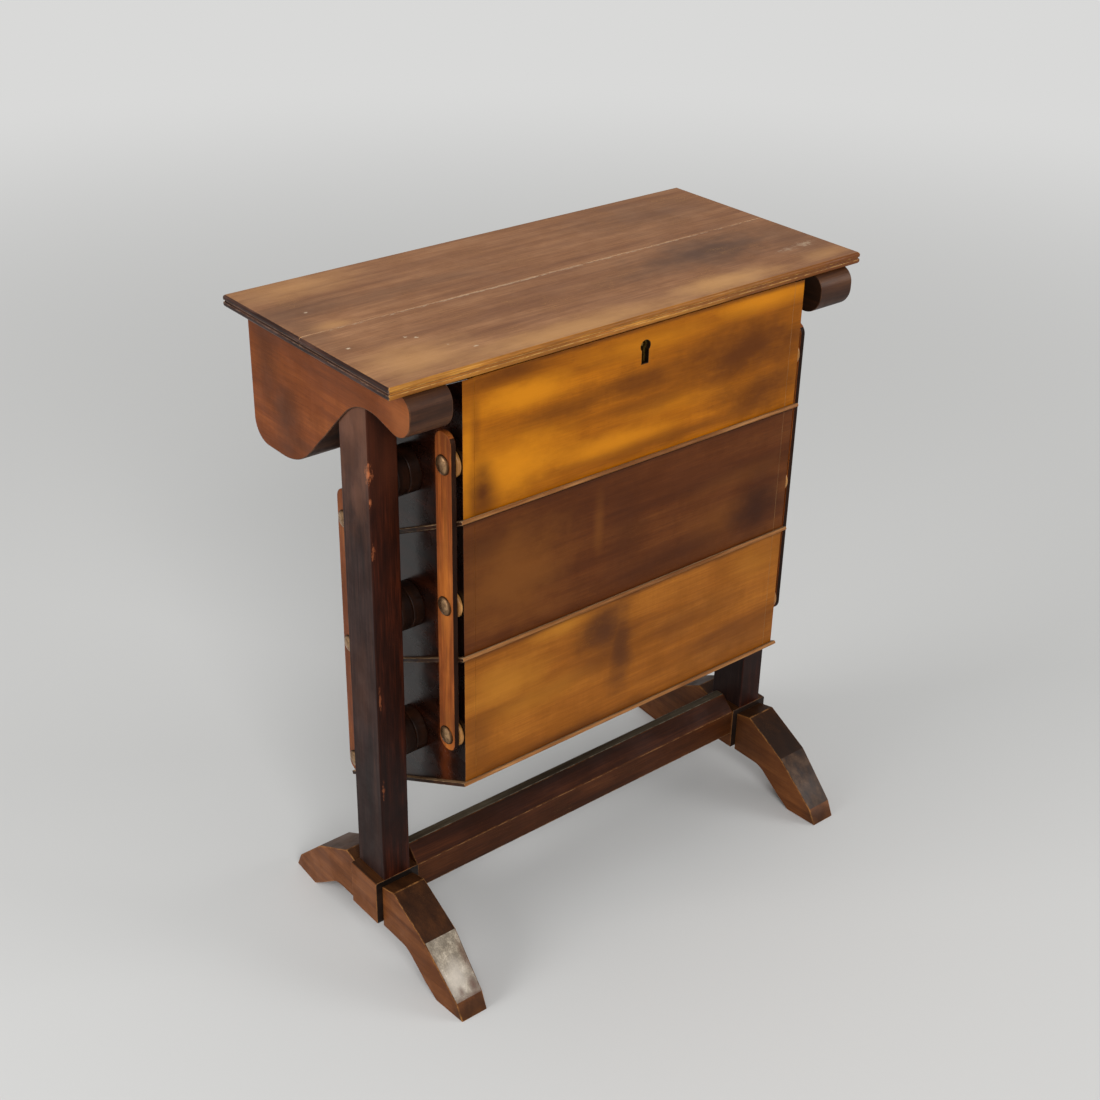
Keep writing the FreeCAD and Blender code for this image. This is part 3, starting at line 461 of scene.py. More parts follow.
# %% Stretcher
stretcher_finish = old_wood(
    "stained stretcher rail", "x", ("#2c1304", "#45210a", "#562e13"), worn="#b08050",
    fibre=0.4, rough=0.45, gloss=0.12, rub=0.35, seed=4.0)
slope_finish = old_wood(
    "dark film on the slope", "x", ("#210d03", "#341607", "#49230d"), worn="#7a471d",
    fibre=0.4, rough=0.5, gloss=0.08, rub=0.3, seed=4.2)
# The grey of this flat is partly dust and partly a painted sheen.
dust_and_sheen_finish = old_wood(
    "dusty flat of the rail with painted sheen", "x", ("#2b2118", "#4a4033", "#5f5546"), worn="#8d8371",
    rough=0.6, gloss=0.08, rub=0.5, seed=4.4)
rail = eased_copy("stretcher", "stretcher_rail", stretcher_finish, ease_mm=0.8)
SLOPE_FACES = (0, -0.6, 0.8)
finish_facing(rail, slope_finish, SLOPE_FACES, 0.8)
finish_facing(rail, dust_and_sheen_finish, UPWARDS, 0.95)

# %% [markdown]
# ## Feet
#
# Four curved feet are dowelled to two blocks. Shoes and mops have scoured the sloping shins down to hard
# grey wood that shines like horn, most on the left foot, with brown spots of the old stain left in it. The
# left shin's pale grey is partly this wear and partly a painted sheen, with a painted highlight on it.
# The flats above keep a thick dark film, the toes are nearly black, and the back foot on the right is
# darkened with painted shade. The blocks' end grain is nearly black, partly its own colour and partly
# painted shade.

# %% Feet and blocks
FOOT_OUT = 198  # middle of a foot from the cabinet's middle, mm
foot_finish = old_wood(
    "stained foot", "y", ("#552d14", "#744320", "#895229"), worn="#c58947",
    smoke_shade_and_highlight=on_both_sides(FOOT_OUT, (-131, 5, (40, 13, 20), 0.75))
          # The first mark here darkens the back foot on the right: painted shade.
          + [((FOOT_OUT, 84, 40), (40, 60, 60), 0.8), ((FOOT_OUT, -30, 50), (40, 40, 60), 0.5)],
    smoke_shade_and_highlight_tone="#2a190e", figure_mm=10.0, curl=0.12, rough=0.48, gloss=0.12, rub=0.4, seed=5.0)
foot_top_finish = old_wood(
    "dark film on the foot", "y", ("#251206", "#3b200d", "#4f2d14"), worn="#b57c46",
    bright=[((0, 80, 60), (ALL, 60, 40), 0.9)],
    # The second mark here darkens the top of the back foot on the right: painted shade.
    smoke_shade_and_highlight=[((FOOT_OUT, -80, 50), (40, 60, 40), 0.8), ((FOOT_OUT, 84, 40), (40, 60, 60), 0.9)],
    bright_tone="#624430", smoke_shade_and_highlight_tone="#1b100a", rough=0.48, gloss=0.12, rub=0.4, seed=5.3)
shin_finish = old_wood(
    "scoured shin with painted sheen", "y", ("#706455", "#9c8f7c", "#cbbda9"), worn="#efe1ce",
    # This light mark is a painted highlight on the left shin.
    bright=[((-4 - FOOT_OUT, -113, 26), (12, 17, 17), 0.6)],
    smoke_shade_and_highlight=[
        ((-FOOT_OUT, -128, 12), (40, 7, 7), 1.0), ((8 - FOOT_OUT, -121, 19), (5, 8, 8), 0.9),
        ((-4 - FOOT_OUT, -122, 18), (3, 5, 6), 0.7), ((12 - FOOT_OUT, -104, 34), (4, 14, 14), 0.7),
        ((-14 - FOOT_OUT, -106, 32), (3, 22, 22), 0.7)],
    bright_tone="#d1c6b9", smoke_shade_and_highlight_tone="#53321f", figure_mm=6.0, mottle=0.5, fibre=0.5, rough=0.3, gloss=0.6,
    rub=0.4, scratches=0.8, seed=5.6)
dull_shin_finish = old_wood(
    "shin with its old stain", "y", ("#231208", "#402917", "#573e2a"), worn="#796249",
    smoke_shade_and_highlight=[((FOOT_OUT, -132, 5), (30, 12, 12), 0.9)],
    smoke_shade_and_highlight_tone="#170b04", figure_mm=6.0, mottle=0.5, rough=0.45, gloss=0.25, scratches=0.8, seed=5.7)
# The blocks' front faces are nearly black, partly end grain and partly painted shade.
block_edge_finish = old_wood(
    "end grain of the block in painted shade", "x", ("#0d0806", "#1c120c", "#2b1c13"), worn="#4a3324",
    rough=0.5, rub=0.5, seed=5.8)
SHIN_FACES = (0, -0.85, 0.5)
SHIN_BOX = (-FAR, -128, 10), (FAR, -70, 52)
for side in INWARDS:
    block = eased_copy(f"foot_block_{side}", f"block_{side}", foot_finish, ease_mm=0.6)
    finish_facing(block, block_edge_finish, FORWARDS, 0.6)
    finish_facing(block, foot_top_finish, UPWARDS, 0.6)
    for end in ("front", "back"):
        foot = eased_copy(f"foot_{end}_{side}", f"{end}_foot_{side}", foot_finish, ease_mm=0.8)
        finish_facing(foot, foot_top_finish, UPWARDS, 0.6)
        if end == "front":
            shin = shin_finish if side == "left" else dull_shin_finish
            finish_facing(foot, shin, SHIN_FACES, 0.9, *SHIN_BOX)

# %% [markdown]
# ## The trays
#
# Each tray is a box: a front board, two ends, a back, and a floor whose nose sticks out under the front
# and shows as a thin rubbed line. The upper and lower fronts are amber and the middle one is browner:
# someone varnished it apart, or it is a later board. Handling and smoke have left lighter and darker
# clouds at known places, so the fronts can't share one finish. A thin dark line along the top of each
# front, and along the bottom of the upper and middle ones at the nose, is painted shadow. The small faces
# inside the keyhole are painted near black as shade.

# %% Tray fronts
upper_finish = old_wood(
    "amber front, upper tray", "x", ("#824704", "#a25c05", "#b76b09"), worn="#c48121",
    bright=on_front(
        (-115, 486, 50, 12, 0.9), (10, 497, 70, 10, 0.5), (120, 502, 55, 10, 0.8), (-120, 434, 56, 28, 1.0),
        (-36, 425, 75, 12, 0.8), (30, 441, 60, 9, 0.35), (-161, 440, 7, 50, 0.7)),
    smoke_shade_and_highlight=on_front(
        (-75, 464, 66, 10, 0.7), (0, 468, 84, 14, 0.8), (104, 464, 90, 30, 0.95), (128, 428, 66, 26, 0.9),
        (-126, 507, 38, 9, 0.8), (-148, 420, 15, 27, 1.0), (-154, 475, 5, 34, 0.35), (0, 448, 60, 10, 0.5),
        # The two full-width lines are painted shadow: under the top's overhang, and along the bottom edge at
        # the nose.
        (60, 414, 130, 7, 0.5), (0, 510, ALL, 3.5, 0.9), (0, 400, ALL, 3, 0.9)),
    bright_tone="#c67b0f", smoke_shade_and_highlight_tone="#542904", figure_mm=18.0, mottle=0.3, fibre=0.22, curl=0.12,
    pore=0.3, rough=0.45, gloss=0.1, rub=0.15, scratches=0.12, seed=6.0)
middle_finish = old_wood(
    "brown front, middle tray", "x", ("#462008", "#5a2d0d", "#6a3a14"), worn="#8e5926",
    bright=on_front(
        (-39, 358, 6, 28, 0.45), (-69, 366, 6, 18, 0.25), (90, 322, 40, 22, 0.35),
        (-120, 345, 60, 50, 0.75), (110, 356, 70, 10, 0.3)),
    smoke_shade_and_highlight=on_front(
        (132, 318, 34, 36, 1.0), (30, 306, 80, 14, 0.5), (-12, 345, 22, 40, 0.4), (-148, 376, 20, 12, 0.35),
        # The two full-width lines are painted shadow: under the upper tray's nose, and along the bottom edge
        # at this tray's nose.
        (0, 402, ALL, 4.5, 1.0), (0, 288, ALL, 3, 0.6)),
    bright_tone="#764518", smoke_shade_and_highlight_tone="#371908", figure_mm=18.0, mottle=0.3, fibre=0.22, curl=0.1,
    rough=0.45, gloss=0.1, rub=0.15, scratches=0.3, seed=7.0)
lower_finish = old_wood(
    "amber front, lower tray", "x", ("#75400d", "#905314", "#a4631d"), worn="#c18735",
    bright=on_front(
        (-128, 254, 44, 24, 0.6), (-72, 283, 34, 9, 0.7), (-100, 228, 60, 14, 0.4),
        (134, 270, 34, 18, 0.3)),
    smoke_shade_and_highlight=on_front(
        (-30, 264, 32, 27, 1.0), (-12, 244, 15, 52, 0.9), (-22, 250, 34, 26, 0.6), (-154, 208, 16, 34, 0.4),
        (-60, 178, 130, 9, 0.8), (60, 240, 70, 20, 0.35), (110, 200, 80, 24, 0.45),
        # This full-width line is painted shadow under the middle tray's nose.
        (0, 289, ALL, 4.5, 1.0)),
    bright_tone="#b17322", smoke_shade_and_highlight_tone="#502b11", figure_mm=18.0, mottle=0.3, fibre=0.22, curl=0.12,
    pore=0.35, rough=0.45, gloss=0.1, rub=0.15, seed=8.0)
# The faces inside the keyhole are painted near black as shade.
keyhole_shade_finish = old_wood("painted shade on the sides of the keyhole", "y", ("#0a0604", "#140c07", "#24150c"), rub=0.0,
                          seed=8.5)
KEYHOLE_BOX = (-7, -FAR, 478), (7, FAR, 501)
front_finishes = {"upper": upper_finish, "middle": middle_finish, "lower": lower_finish}
for level, finish in front_finishes.items():
    front = eased_copy(f"{level}_tray_front", f"{level}_front_board", finish, ease_mm=0.35)
    if level == "upper":
        for direction in (RIGHTWARDS, LEFTWARDS, UPWARDS, DOWNWARDS):
            finish_facing(front, keyhole_shade_finish, direction, 0.3, *KEYHOLE_BOX)

# %% [markdown]
# ## Tray ends and backs
#
# The ends are dark, glossy and red-brown. A strip beside the links is redder with painted light, and a
# strip along their front edges is nearly black with painted shadow from the links. Those edges themselves
# take the finish of the fronts. The backs face a wall, so they are plain and dull. Inside, the wood was
# never finished, so it is dry and pale.

# %% Tray ends and backs
END_OUT = 165  # outer face of a tray's end, mm
end_finish = old_wood(
    "glossy red-brown tray end", "y", ("#130602", "#250e06", "#3c190a"), worn="#743a1c",
    # These redder strips beside the links are painted light.
    bright=on_both_sides(END_OUT, *[(-53, z, (9, 9, 50), 0.7) for z in (200, 300, 430)]),
    # This near-black strip along the front edge is painted shadow from the links.
    smoke_shade_and_highlight=on_both_sides(END_OUT, (-76, 320, (9, 13, 300), 1.0)),
    bright_tone="#652d0f", smoke_shade_and_highlight_tone="#0a0302", rough=0.24, varnish=0.1, gloss=0.3, rub=0.4, seed=9.0)
back_finish = old_wood(
    "stained back board", "x", ("#341d10", "#50301b", "#6a4326"), worn="#8d6038",
    mottle=0.5, fibre=0.35, curl=0.1, rough=0.5, gloss=0.15, rub=0.5, seed=9.2)
bare_finish = old_wood(
    "unfinished wood inside", "y", ("#7d5c3c", "#9a7650", "#b18d65"), worn="#c4a27a",
    fibre=0.25, rough=0.6, rub=0.2, seed=9.5)
bare_floor_finish = old_wood(
    "unfinished floor board", "x", ("#76583a", "#947250", "#a98763"), worn="#c4a27a",
    rough=0.6, rub=0.2, seed=9.7)
for level, finish in front_finishes.items():
    for side, inward in INWARDS.items():
        end = eased_copy(f"{level}_tray_end_{side}", f"{level}_end_board_{side}", end_finish,
                         ease_mm=0.4)
        finish_facing(end, bare_finish, inward, 0.9)
        finish_facing(end, finish, FORWARDS, 0.8)
    back = eased_copy(f"{level}_tray_back", f"{level}_back_board", back_finish, ease_mm=0.4)
    finish_facing(back, bare_finish, FORWARDS, 0.8)

# %% [markdown]
# ## Tray floors
#
# A floor runs out past the front board as a thin rounded nose, which hands have rubbed. Inside the tray
# it is bare, unvarnished wood. Faces that look up take the bare finish, and then those of the nose that
# look forwards take the nose's own. The rest stays dark.

# %% Tray floors
NOSE_Y = -84  # the middle of the marks on the noses, mm
floor_finish = old_wood(
    "dark underside of a floor", "x", ("#20110a", "#382014", "#4c2e1c"), worn="#d8b184",
    rough=0.45, seed=10.0)
nose_finish = old_wood(
    "rubbed nose of a floor", "x", ("#73451f", "#9b6739", "#ad7d4d"), worn="#b38a59",
    smoke_shade_and_highlight=[((20, NOSE_Y, z), (90, THROUGH, 9), 0.6) for z in (292, 405)]
          # These thin full-width marks darken the lower half of each nose: painted shade.
          + [((0, NOSE_Y, z), (ALL, THROUGH, 2.2), 0.9) for z in (175.2, 288.0, 400.8)],
    smoke_shade_and_highlight_tone="#5a3012", figure_mm=3.0, fibre=0.4, rough=0.5, gloss=0.1, rub=0.5, seed=10.5)
for level in front_finishes:
    floor = eased_copy(f"{level}_tray_floor", f"{level}_floor_board", floor_finish, ease_mm=0.3)
    finish_facing(floor, bare_floor_finish, UPWARDS)
    finish_facing(floor, nose_finish, FORWARDS, 0.3, high=(FAR, FRONT_Y + 0.5, FAR))

# %% [markdown]
# ## Discs between the trays and the posts
#
# Turned discs keep the trays clear of the posts at the pivots, one on the tray and one on the post.

# %% Spacer discs
disc_finish = old_wood(
    "turned spacer disc", "z", ("#100603", "#210f06", "#33190b"), worn="#60351b",
    rough=0.42, gloss=0.15, rub=0.5, seed=11.0)
for level in front_finishes:
    eased_copy(f"{level}_tray_discs", f"{level}_spacer_discs", disc_finish, ease_mm=0.8)
for side in INWARDS:
    eased_copy(f"post_discs_{side}", f"post_spacer_discs_{side}", disc_finish, ease_mm=0.8)

# %% [markdown]
# ## Links
#
# Four thin slats tie the trays together. Their arrises are rubbed pale, their narrow front edges are
# dark, and the rear pair is browner than the front pair.

# %% Link slats
link_finish = old_wood(
    "link slat", "z", ("#6d3512", "#994f20", "#b96c2e"), worn="#f5b05a",
    bright=[((0, -69, 350), (ALL, 5, 90), 0.6), ((0, -69, 215), (ALL, 6, 40), 0.5)],
    smoke_shade_and_highlight=[
        ((0, -60, 232), (ALL, 30, 14), 0.6), ((0, -57, 345), (ALL, 4, 200), 0.7),
        ((0, -67, 462), (ALL, 30, 14), 0.5), ((0, 92, 200), (ALL, 60, ALL), 0.65)],
    bright_tone="#c8782e", smoke_shade_and_highlight_tone="#4d2512", figure_mm=6.0, fibre=0.5, rough=0.42, gloss=0.15, rub=0.5,
    seed=12.0)
link_edge_finish = old_wood(
    "dark front edge of a slat", "z", ("#150a05", "#26130a", "#3d2110"), worn="#8a5a34",
    fibre=0.4, rough=0.45, gloss=0.05, rub=0.8, seed=12.5)
for name in ("front_left", "front_right", "back_left", "back_right"):
    slat = eased_copy(f"link_{name}", f"link_slat_{name}", link_finish, ease_mm=0.7)
    finish_facing(slat, link_edge_finish, FORWARDS, 0.75)

# %% [markdown]
# ## Metal
#
# The pins are soft steel with a thin nickel wash. Handling keeps the crown of each head bright, and the
# brown tarnish stays around its foot. The lock is brass gone brown. Metals keep the shader's own IOR:
# their colour comes from the base colour alone.

# %% The metal recipe
def old_metal(title, bright_tone, tarnish_tone, rough=0.35, tarnish=0.5, rim_dirt=0.0, grain_mm=6.0):
    """Metal with cloudy tarnish. rim_dirt is how much of it gathers where the attribute "rim" is near 1."""
    finish, tree, shader, place = new_finish(title)
    cloud = put(tree, "ShaderNodeTexNoise", {"Vector": place, "Scale": 1 / grain_mm, "Detail": 5.0,
                                             "Roughness": 0.65}).outputs[0]
    cover = put(tree, "ShaderNodeMapRange", {"Value": cloud, 1: 0.38, 2: 0.66, 3: 0.0, 4: tarnish},
                interpolation_type="SMOOTHSTEP").outputs[0]
    rim = put(tree, "ShaderNodeAttribute", attribute_name="rim").outputs["Fac"]
    ring = put(tree, "ShaderNodeMapRange", {"Value": rim, 1: 0.66, 2: 0.98, 3: 0.0, 4: rim_dirt},
               interpolation_type="SMOOTHSTEP").outputs[0]
    covered = put(tree, "ShaderNodeMath", {0: cover, 1: ring}, operation="MAXIMUM").outputs[0]
    tone = put(tree, "ShaderNodeMix", {0: covered, 6: linear(bright_tone), 7: linear(tarnish_tone)},
               data_type="RGBA").outputs[2]
    dull = put(tree, "ShaderNodeMapRange",
               {"Value": covered, 1: 0.0, 2: 1.0, 3: rough, 4: rough + 0.3}).outputs[0]
    scuffs = put(tree, "ShaderNodeTexNoise", {"Vector": place, "Scale": 2.2, "Detail": 3.0}).outputs[0]
    bump = put(tree, "ShaderNodeBump", {"Height": scuffs, "Distance": 0.00005, "Strength": 0.5})
    tree.links.new(tone, shader.inputs["Base Color"])
    tree.links.new(dull, shader.inputs["Roughness"])
    tree.links.new(bump.outputs[0], shader.inputs["Normal"])
    shader.inputs["Metallic"].default_value = 1.0
    return finish


def dress(node_name, finish):
    """Gives a measured node its finish as it is."""
    for slot in nodes[node_name].material_slots:
        slot.material = finish


pin_finish = old_metal("worn nickel on steel", "#b58f68", "#3a2213", rough=0.26, tarnish=0.6, rim_dirt=0.95,
                       grain_mm=4.0)
brass_finish = old_metal("brown lock brass", "#9a7a3e", "#3f2d16", rough=0.4, tarnish=0.8)
steel_finish = old_metal("plain screw steel", "#8f8a84", "#3f2f26", rough=0.4, tarnish=0.7)
for node_name in ("pivot_screws_left", "pivot_screws_right", "strike_screws", "lock_screws", "lock_bolt"):
    dress(node_name, steel_finish)
for node_name in ("lock_case", "strike_plate"):
    dress(node_name, brass_finish)
dowel_finish = old_wood("beech dowel", "y", ("#a98055", "#c39a6c", "#d6b185"), rough=0.6, rub=0.2, seed=13.0)
for side in INWARDS:
    dress(f"foot_dowels_{side}", dowel_finish)
print("metal and dowels dressed")

# %% [markdown]
# ## Pins and washers with Geometry Nodes
#
# Twelve pins and twelve wooden washers hold the links, all alike. Copying a mesh by hand would work. A
# geometry tree is easier to change: it makes one part from its sizes, puts it at every place on a list of
# points, turns it to face outwards, and spins each copy by a random but fixed angle so that no two wear
# alike.

# %% Where the repeated parts sit
def solids_in(node_name):
    """The lowest and highest corner of each separate solid in a measured node, sorted by place."""
    work = bmesh.new()
    work.from_mesh(nodes[node_name].data)
    bmesh.ops.remove_doubles(work, verts=work.verts, dist=WELD)
    left, boxes = set(work.verts), []
    while left:
        reached, waiting = set(), [left.pop()]
        while waiting:
            vert = waiting.pop()
            reached.add(vert)
            near = [edge.other_vert(vert) for edge in vert.link_edges]
            waiting += [other for other in near if other in left]
            left.difference_update(near)
        boxes.append([Vector([pick(v.co[i] for v in reached) for i in range(3)]) for pick in (min, max)])
    work.free()
    return sorted(boxes, key=lambda box: tuple(box[0]))


def places_mesh(title, boxes, from_outside):
    """Points with a turn: each lies from_outside metres inside its solid's outer side, and faces outwards."""
    mesh = bpy.data.meshes.new(title)
    spots, turns = [], []
    for low, high in boxes:
        out = 1 if low.x + high.x > 0 else -1
        outer = high.x if out > 0 else low.x
        spots.append((outer - out * from_outside, (low.y + high.y) / 2, (low.z + high.z) / 2))
        turns.append((0.0, out * math.pi / 2, 0.0))
    mesh.from_pydata(spots, [], [])
    turn = mesh.attributes.new("turn", "FLOAT_VECTOR", "POINT")
    turn.data.foreach_set("vector", [value for each in turns for value in each])
    return mesh


pin_boxes = {level: solids_in(f"{level}_tray_link_pins") for level in front_finishes}
print("pins on each tray:", {level: len(boxes) for level, boxes in pin_boxes.items()})

# %% [markdown]
# ## What every parts tree shares
#
# The pins and the washers differ only in the part that is repeated. So the start of a tree, with its
# named inputs, and its end, which places, turns and spins the copies, are each written once. The end
# makes the copies real and gives them their finish, because an exporter keeps only real faces.

# %% Start a tree with named inputs
def new_parts_tree(title, sizes):
    """A geometry tree with the places, the sizes, a finish and a seed as inputs."""
    tree = bpy.data.node_groups.new(title, "GeometryNodeTree")
    tree.interface.new_socket("Places", in_out="INPUT", socket_type="NodeSocketGeometry")
    for name in sizes:
        tree.interface.new_socket(name, in_out="INPUT", socket_type="NodeSocketFloat")
    tree.interface.new_socket("Finish", in_out="INPUT", socket_type="NodeSocketMaterial")
    tree.interface.new_socket("Seed", in_out="INPUT", socket_type="NodeSocketInt")
    tree.interface.new_socket("Parts", in_out="OUTPUT", socket_type="NodeSocketGeometry")
    return tree, put(tree, "NodeGroupInput").outputs


def place_parts(tree, given, part):
    """Ends a tree: instances of the part on the places, turned, spun, made real and given the finish."""
    turn = put(tree, "GeometryNodeInputNamedAttribute", {"Name": "turn"}, data_type="FLOAT_VECTOR").outputs[0]
    copies = put(tree, "GeometryNodeInstanceOnPoints",
                 {"Points": given["Places"], "Instance": part, "Rotation": turn}).outputs[0]
    angle = put(tree, "FunctionNodeRandomValue", {"Min": 0.0, "Max": 2 * math.pi, "Seed": given["Seed"]},
                data_type="FLOAT")
    spin = put(tree, "ShaderNodeCombineXYZ", {"Z": [o for o in angle.outputs if o.enabled][0]}).outputs[0]
    spun = put(tree, "GeometryNodeRotateInstances", {"Instances": copies, "Rotation": spin}).outputs[0]
    real = put(tree, "GeometryNodeRealizeInstances", {"Geometry": spun}).outputs[0]
    done = put(tree, "GeometryNodeSetMaterial", {"Geometry": real, "Material": given["Finish"]}).outputs[0]
    put(tree, "NodeGroupOutput", {"Parts": done})


# %% [markdown]
# ## One pin
#
# A pin is a shank with a domed head. The dome is a ball whose lower half is pressed flat and whose size
# is then set in three directions, so its edge stays closed. The ball remembers how far each point was
# from the middle, as an attribute called "rim", and the metal recipe reads it to put tarnish round the
# foot of the head.

# %% The pin tree
pin_sizes = ("Head radius", "Head height", "Shank radius", "Shank length")
pin_tree, given = new_parts_tree("domed pins", pin_sizes)
ball = put(pin_tree, "GeometryNodeMeshUVSphere", {"Segments": 40, "Rings": 24, "Radius": 1.0}).outputs["Mesh"]
where = put(pin_tree, "GeometryNodeInputPosition").outputs[0]
spot = put(pin_tree, "ShaderNodeSeparateXYZ", {0: where}).outputs
lifted = put(pin_tree, "ShaderNodeMath", {0: spot["Z"], 1: 0.0}, operation="MAXIMUM").outputs[0]
sized = [put(pin_tree, "ShaderNodeMath", {0: value, 1: given[size]}, operation="MULTIPLY").outputs[0]
         for value, size in ((spot["X"], "Head radius"), (spot["Y"], "Head radius"), (lifted, "Head height"))]
domed = put(pin_tree, "ShaderNodeCombineXYZ", {"X": sized[0], "Y": sized[1], "Z": sized[2]}).outputs[0]
flat = put(pin_tree, "ShaderNodeCombineXYZ", {"X": spot["X"], "Y": spot["Y"]}).outputs[0]
out_from_middle = put(pin_tree, "ShaderNodeVectorMath", {0: flat}, operation="LENGTH").outputs["Value"]
marked = put(pin_tree, "GeometryNodeStoreNamedAttribute",
             {"Geometry": ball, "Name": "rim", "Value": out_from_middle},
             data_type="FLOAT", domain="POINT").outputs[0]
head = put(pin_tree, "GeometryNodeSetPosition", {"Geometry": marked, "Position": domed}).outputs[0]
shank = put(pin_tree, "GeometryNodeMeshCylinder", {"Vertices": 20, "Radius": given["Shank radius"],
                                                   "Depth": given["Shank length"]}).outputs["Mesh"]
half = put(pin_tree, "ShaderNodeMath", {0: given["Shank length"], 1: -0.5}, operation="MULTIPLY").outputs[0]
down = put(pin_tree, "ShaderNodeCombineXYZ", {"Z": half}).outputs[0]
sunk = put(pin_tree, "GeometryNodeTransform", {"Geometry": shank, "Translation": down}).outputs[0]
pin = put(pin_tree, "GeometryNodeJoinGeometry")
pin_tree.links.new(head, pin.inputs[0])
pin_tree.links.new(sunk, pin.inputs[0])
place_parts(pin_tree, given, pin.outputs[0])
print("pin tree:", len(pin_tree.nodes), "nodes")

# %% [markdown]
# ## One washer
#
# A washer could be a cylinder with a hole cut in it. Sweeping a small rounded rectangle round a circle
# gives the same ring with soft edges, and four sizes describe it.

# %% The washer tree
washer_sizes = ("Middle radius", "Ring width", "Thickness", "Round")
washer_tree, given = new_parts_tree("turned washers", washer_sizes)
path = put(washer_tree, "GeometryNodeCurvePrimitiveCircle",
           {"Resolution": 56, "Radius": given["Middle radius"]}).outputs[0]
outline = put(washer_tree, "GeometryNodeCurvePrimitiveQuadrilateral",
              {"Width": given["Ring width"], "Height": given["Thickness"]}).outputs[0]
rounded = put(washer_tree, "GeometryNodeFilletCurve", {"Curve": outline, "Radius": given["Round"]}).outputs[0]
ring = put(washer_tree, "GeometryNodeCurveToMesh", {"Curve": path, "Profile Curve": rounded}).outputs[0]
place_parts(washer_tree, given, ring)
print("washer tree:", len(washer_tree.nodes), "nodes")


# %% [markdown]
# ## From tree to plain mesh
#
# The tree is set on a mesh of places as a modifier, its inputs are filled in, and the result is kept as a
# plain mesh. After that nothing live is left, and the piece stands for the measured node like any other.

# %% Run a tree and keep a plain mesh
TURNED_EDGE = math.radians(50)  # shading of pins and washers stays crisp over edges sharper than this


def run_tree(tree, mesh, sizes, finish, seed, piece_name, node_name):
    """Evaluates a tree on a list of places. The result is a plain mesh that stands for a measured node."""
    draft = bpy.data.objects.new(piece_name, mesh)
    bpy.context.scene.collection.objects.link(draft)
    modifier = draft.modifiers.new("parts", "NODES")
    modifier.node_group = tree
    values = dict(sizes, Finish=finish, Seed=seed)
    for item in tree.interface.items_tree:
        if item.in_out == "INPUT" and item.name in values:
            modifier[item.identifier] = values[item.name]
    made = bpy.data.meshes.new_from_object(draft.evaluated_get(bpy.context.evaluated_depsgraph_get()))
    bpy.data.objects.remove(draft)
    made.polygons.foreach_set("use_smooth", [True] * len(made.polygons))
    made.set_sharp_from_angle(angle=TURNED_EDGE)
    place_piece(made, piece_name, finish, [node_name])


HEAD_HEIGHT, SHANK_RADIUS = 2.6 * MM, 2.5 * MM
WASHER_HOLE, WASHER_ROUND = 2.7 * MM, 0.9 * MM
PIN_SEED, WASHER_SEED = 20, 30  # each tray adds its own number
washer_finish = old_wood(
    "turned boxwood washer", "z", ("#815325", "#ab773c", "#c49155"), worn="#d9b47f",
    figure_mm=4.0, rough=0.42, gloss=0.3, rub=0.5, seed=14.0)
for number, level in enumerate(front_finishes):
    low, high = pin_boxes[level][0]
    long = high.x - low.x
    pins = {"Head radius": (high.z - low.z) / 2, "Head height": HEAD_HEIGHT, "Shank radius": SHANK_RADIUS,
            "Shank length": long - HEAD_HEIGHT}
    run_tree(pin_tree, places_mesh("pin places", pin_boxes[level], HEAD_HEIGHT), pins, pin_finish,
             PIN_SEED + number, f"{level}_domed_pins", f"{level}_tray_link_pins")
    boxes = solids_in(f"{level}_tray_washers")
    low, high = boxes[0]
    thick, radius = high.x - low.x, (high.z - low.z) / 2
    rings = {"Middle radius": (radius + WASHER_HOLE) / 2, "Ring width": radius - WASHER_HOLE,
             "Thickness": thick, "Round": WASHER_ROUND}
    run_tree(washer_tree, places_mesh("washer places", boxes, thick / 2), rings, washer_finish,
             WASHER_SEED + number, f"{level}_turned_washers", f"{level}_tray_washers")
    print(level, "washers", len(boxes), "box, mm:", [round(v / MM, 1) for v in (high - low)])

# %% [markdown]
# ## The studio
#
# Furniture is pictured on a pale floor that runs into a pale background. The floor could be curved
# upwards at the back, as paper in a studio is. A flat floor whose far part fades into the background's
# colour looks the same and works from every side. Four large lamps at a moderate level keep colours close
# to how they are written.

# %% Floor, light and air
BACKDROP = "#d9d9d8"
FLOOR_OUT = 12  # metres from the middle of the floor to each side
floor_mesh = bpy.data.meshes.new("studio_floor")
floor_corners = [(x * FLOOR_OUT, y * FLOOR_OUT, 0) for x, y in ((-1, -1), (1, -1), (1, 1), (-1, 1))]
floor_mesh.from_pydata(floor_corners, [], [(0, 1, 2, 3)])
floor_paper = bpy.data.materials.new("pale studio paper")
floor_paper.use_nodes = True
paper_tree = floor_paper.node_tree
paper = paper_tree.nodes["Principled BSDF"]
paper.inputs["Base Color"].default_value = linear("#cbcbca")
paper.inputs["Roughness"].default_value = 1.0
paper.inputs["Specular IOR Level"].default_value = 0.0
away = put(paper_tree, "ShaderNodeVectorMath", {0: put(paper_tree, "ShaderNodeTexCoord").outputs["Object"]},
           operation="LENGTH").outputs["Value"]
fade = put(paper_tree, "ShaderNodeMapRange", {"Value": away, 1: 0.8, 2: 2.8},
           interpolation_type="SMOOTHSTEP").outputs[0]
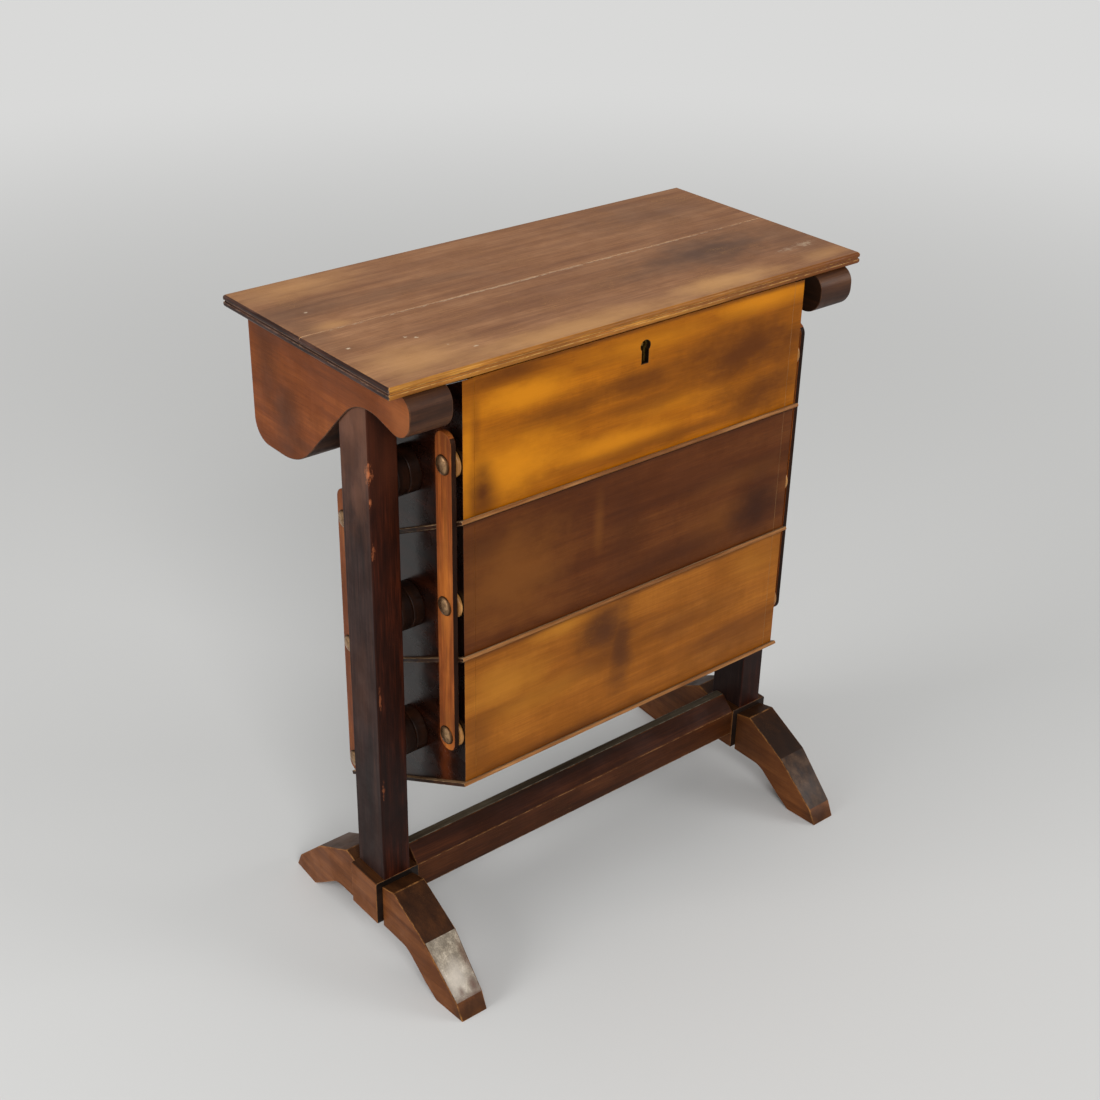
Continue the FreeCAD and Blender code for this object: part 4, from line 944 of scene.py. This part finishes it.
seen = put(paper_tree, "ShaderNodeLightPath").outputs["Is Camera Ray"]
share = put(paper_tree, "ShaderNodeMath", {0: fade, 1: seen}, operation="MULTIPLY").outputs[0]
glow = put(paper_tree, "ShaderNodeEmission", {"Color": linear(BACKDROP)}).outputs[0]
mixed = put(paper_tree, "ShaderNodeMixShader", {0: share, 1: paper.outputs[0], 2: glow}).outputs[0]
paper_tree.links.new(mixed, paper_tree.nodes["Material Output"].inputs["Surface"])
floor_mesh.materials.append(floor_paper)
studio_floor = bpy.data.objects.new("studio_floor", floor_mesh)
bpy.context.scene.collection.objects.link(studio_floor)


def soft_box(title, place, aim, size, watts):
    """A large square lamp that looks at a point."""
    lamp = bpy.data.lights.new(title, "AREA")
    lamp.shape, lamp.size, lamp.energy = "SQUARE", size, watts
    held = bpy.data.objects.new(title, lamp)
    held.location = place
    held.rotation_euler = (Vector(aim) - Vector(place)).to_track_quat("-Z", "Y").to_euler()
    bpy.context.scene.collection.objects.link(held)


soft_box("overhead", (0.3, 0.8, 4.2), (0, 0.4, 0), 4.0, 32)
soft_box("key", (-1.6, -3.0, 2.4), (0, 0, 0.25), 1.6, 92)
soft_box("left", (-3.0, 0.6, 1.6), (0, 0, 0.25), 1.6, 52)
soft_box("right", (2.6, -2.4, 1.6), (0, 0, 0.25), 1.6, 42)
world = bpy.data.worlds.new("pale air")
bpy.context.scene.world = world
world.use_nodes = True
air = world.node_tree.nodes["Background"]
air.inputs["Color"].default_value = linear("#f2f2f0")
air.inputs["Strength"].default_value = 0.38
seen = put(world.node_tree, "ShaderNodeLightPath").outputs["Is Camera Ray"]
backdrop = put(world.node_tree, "ShaderNodeBackground",
               {"Color": linear(BACKDROP), "Strength": 1.0}).outputs[0]
mixed = put(world.node_tree, "ShaderNodeMixShader", {0: seen, 1: air.outputs[0], 2: backdrop}).outputs[0]
world.node_tree.links.new(mixed, world.node_tree.nodes["World Output"].inputs["Surface"])
bpy.context.scene.view_settings.view_transform = "Standard"
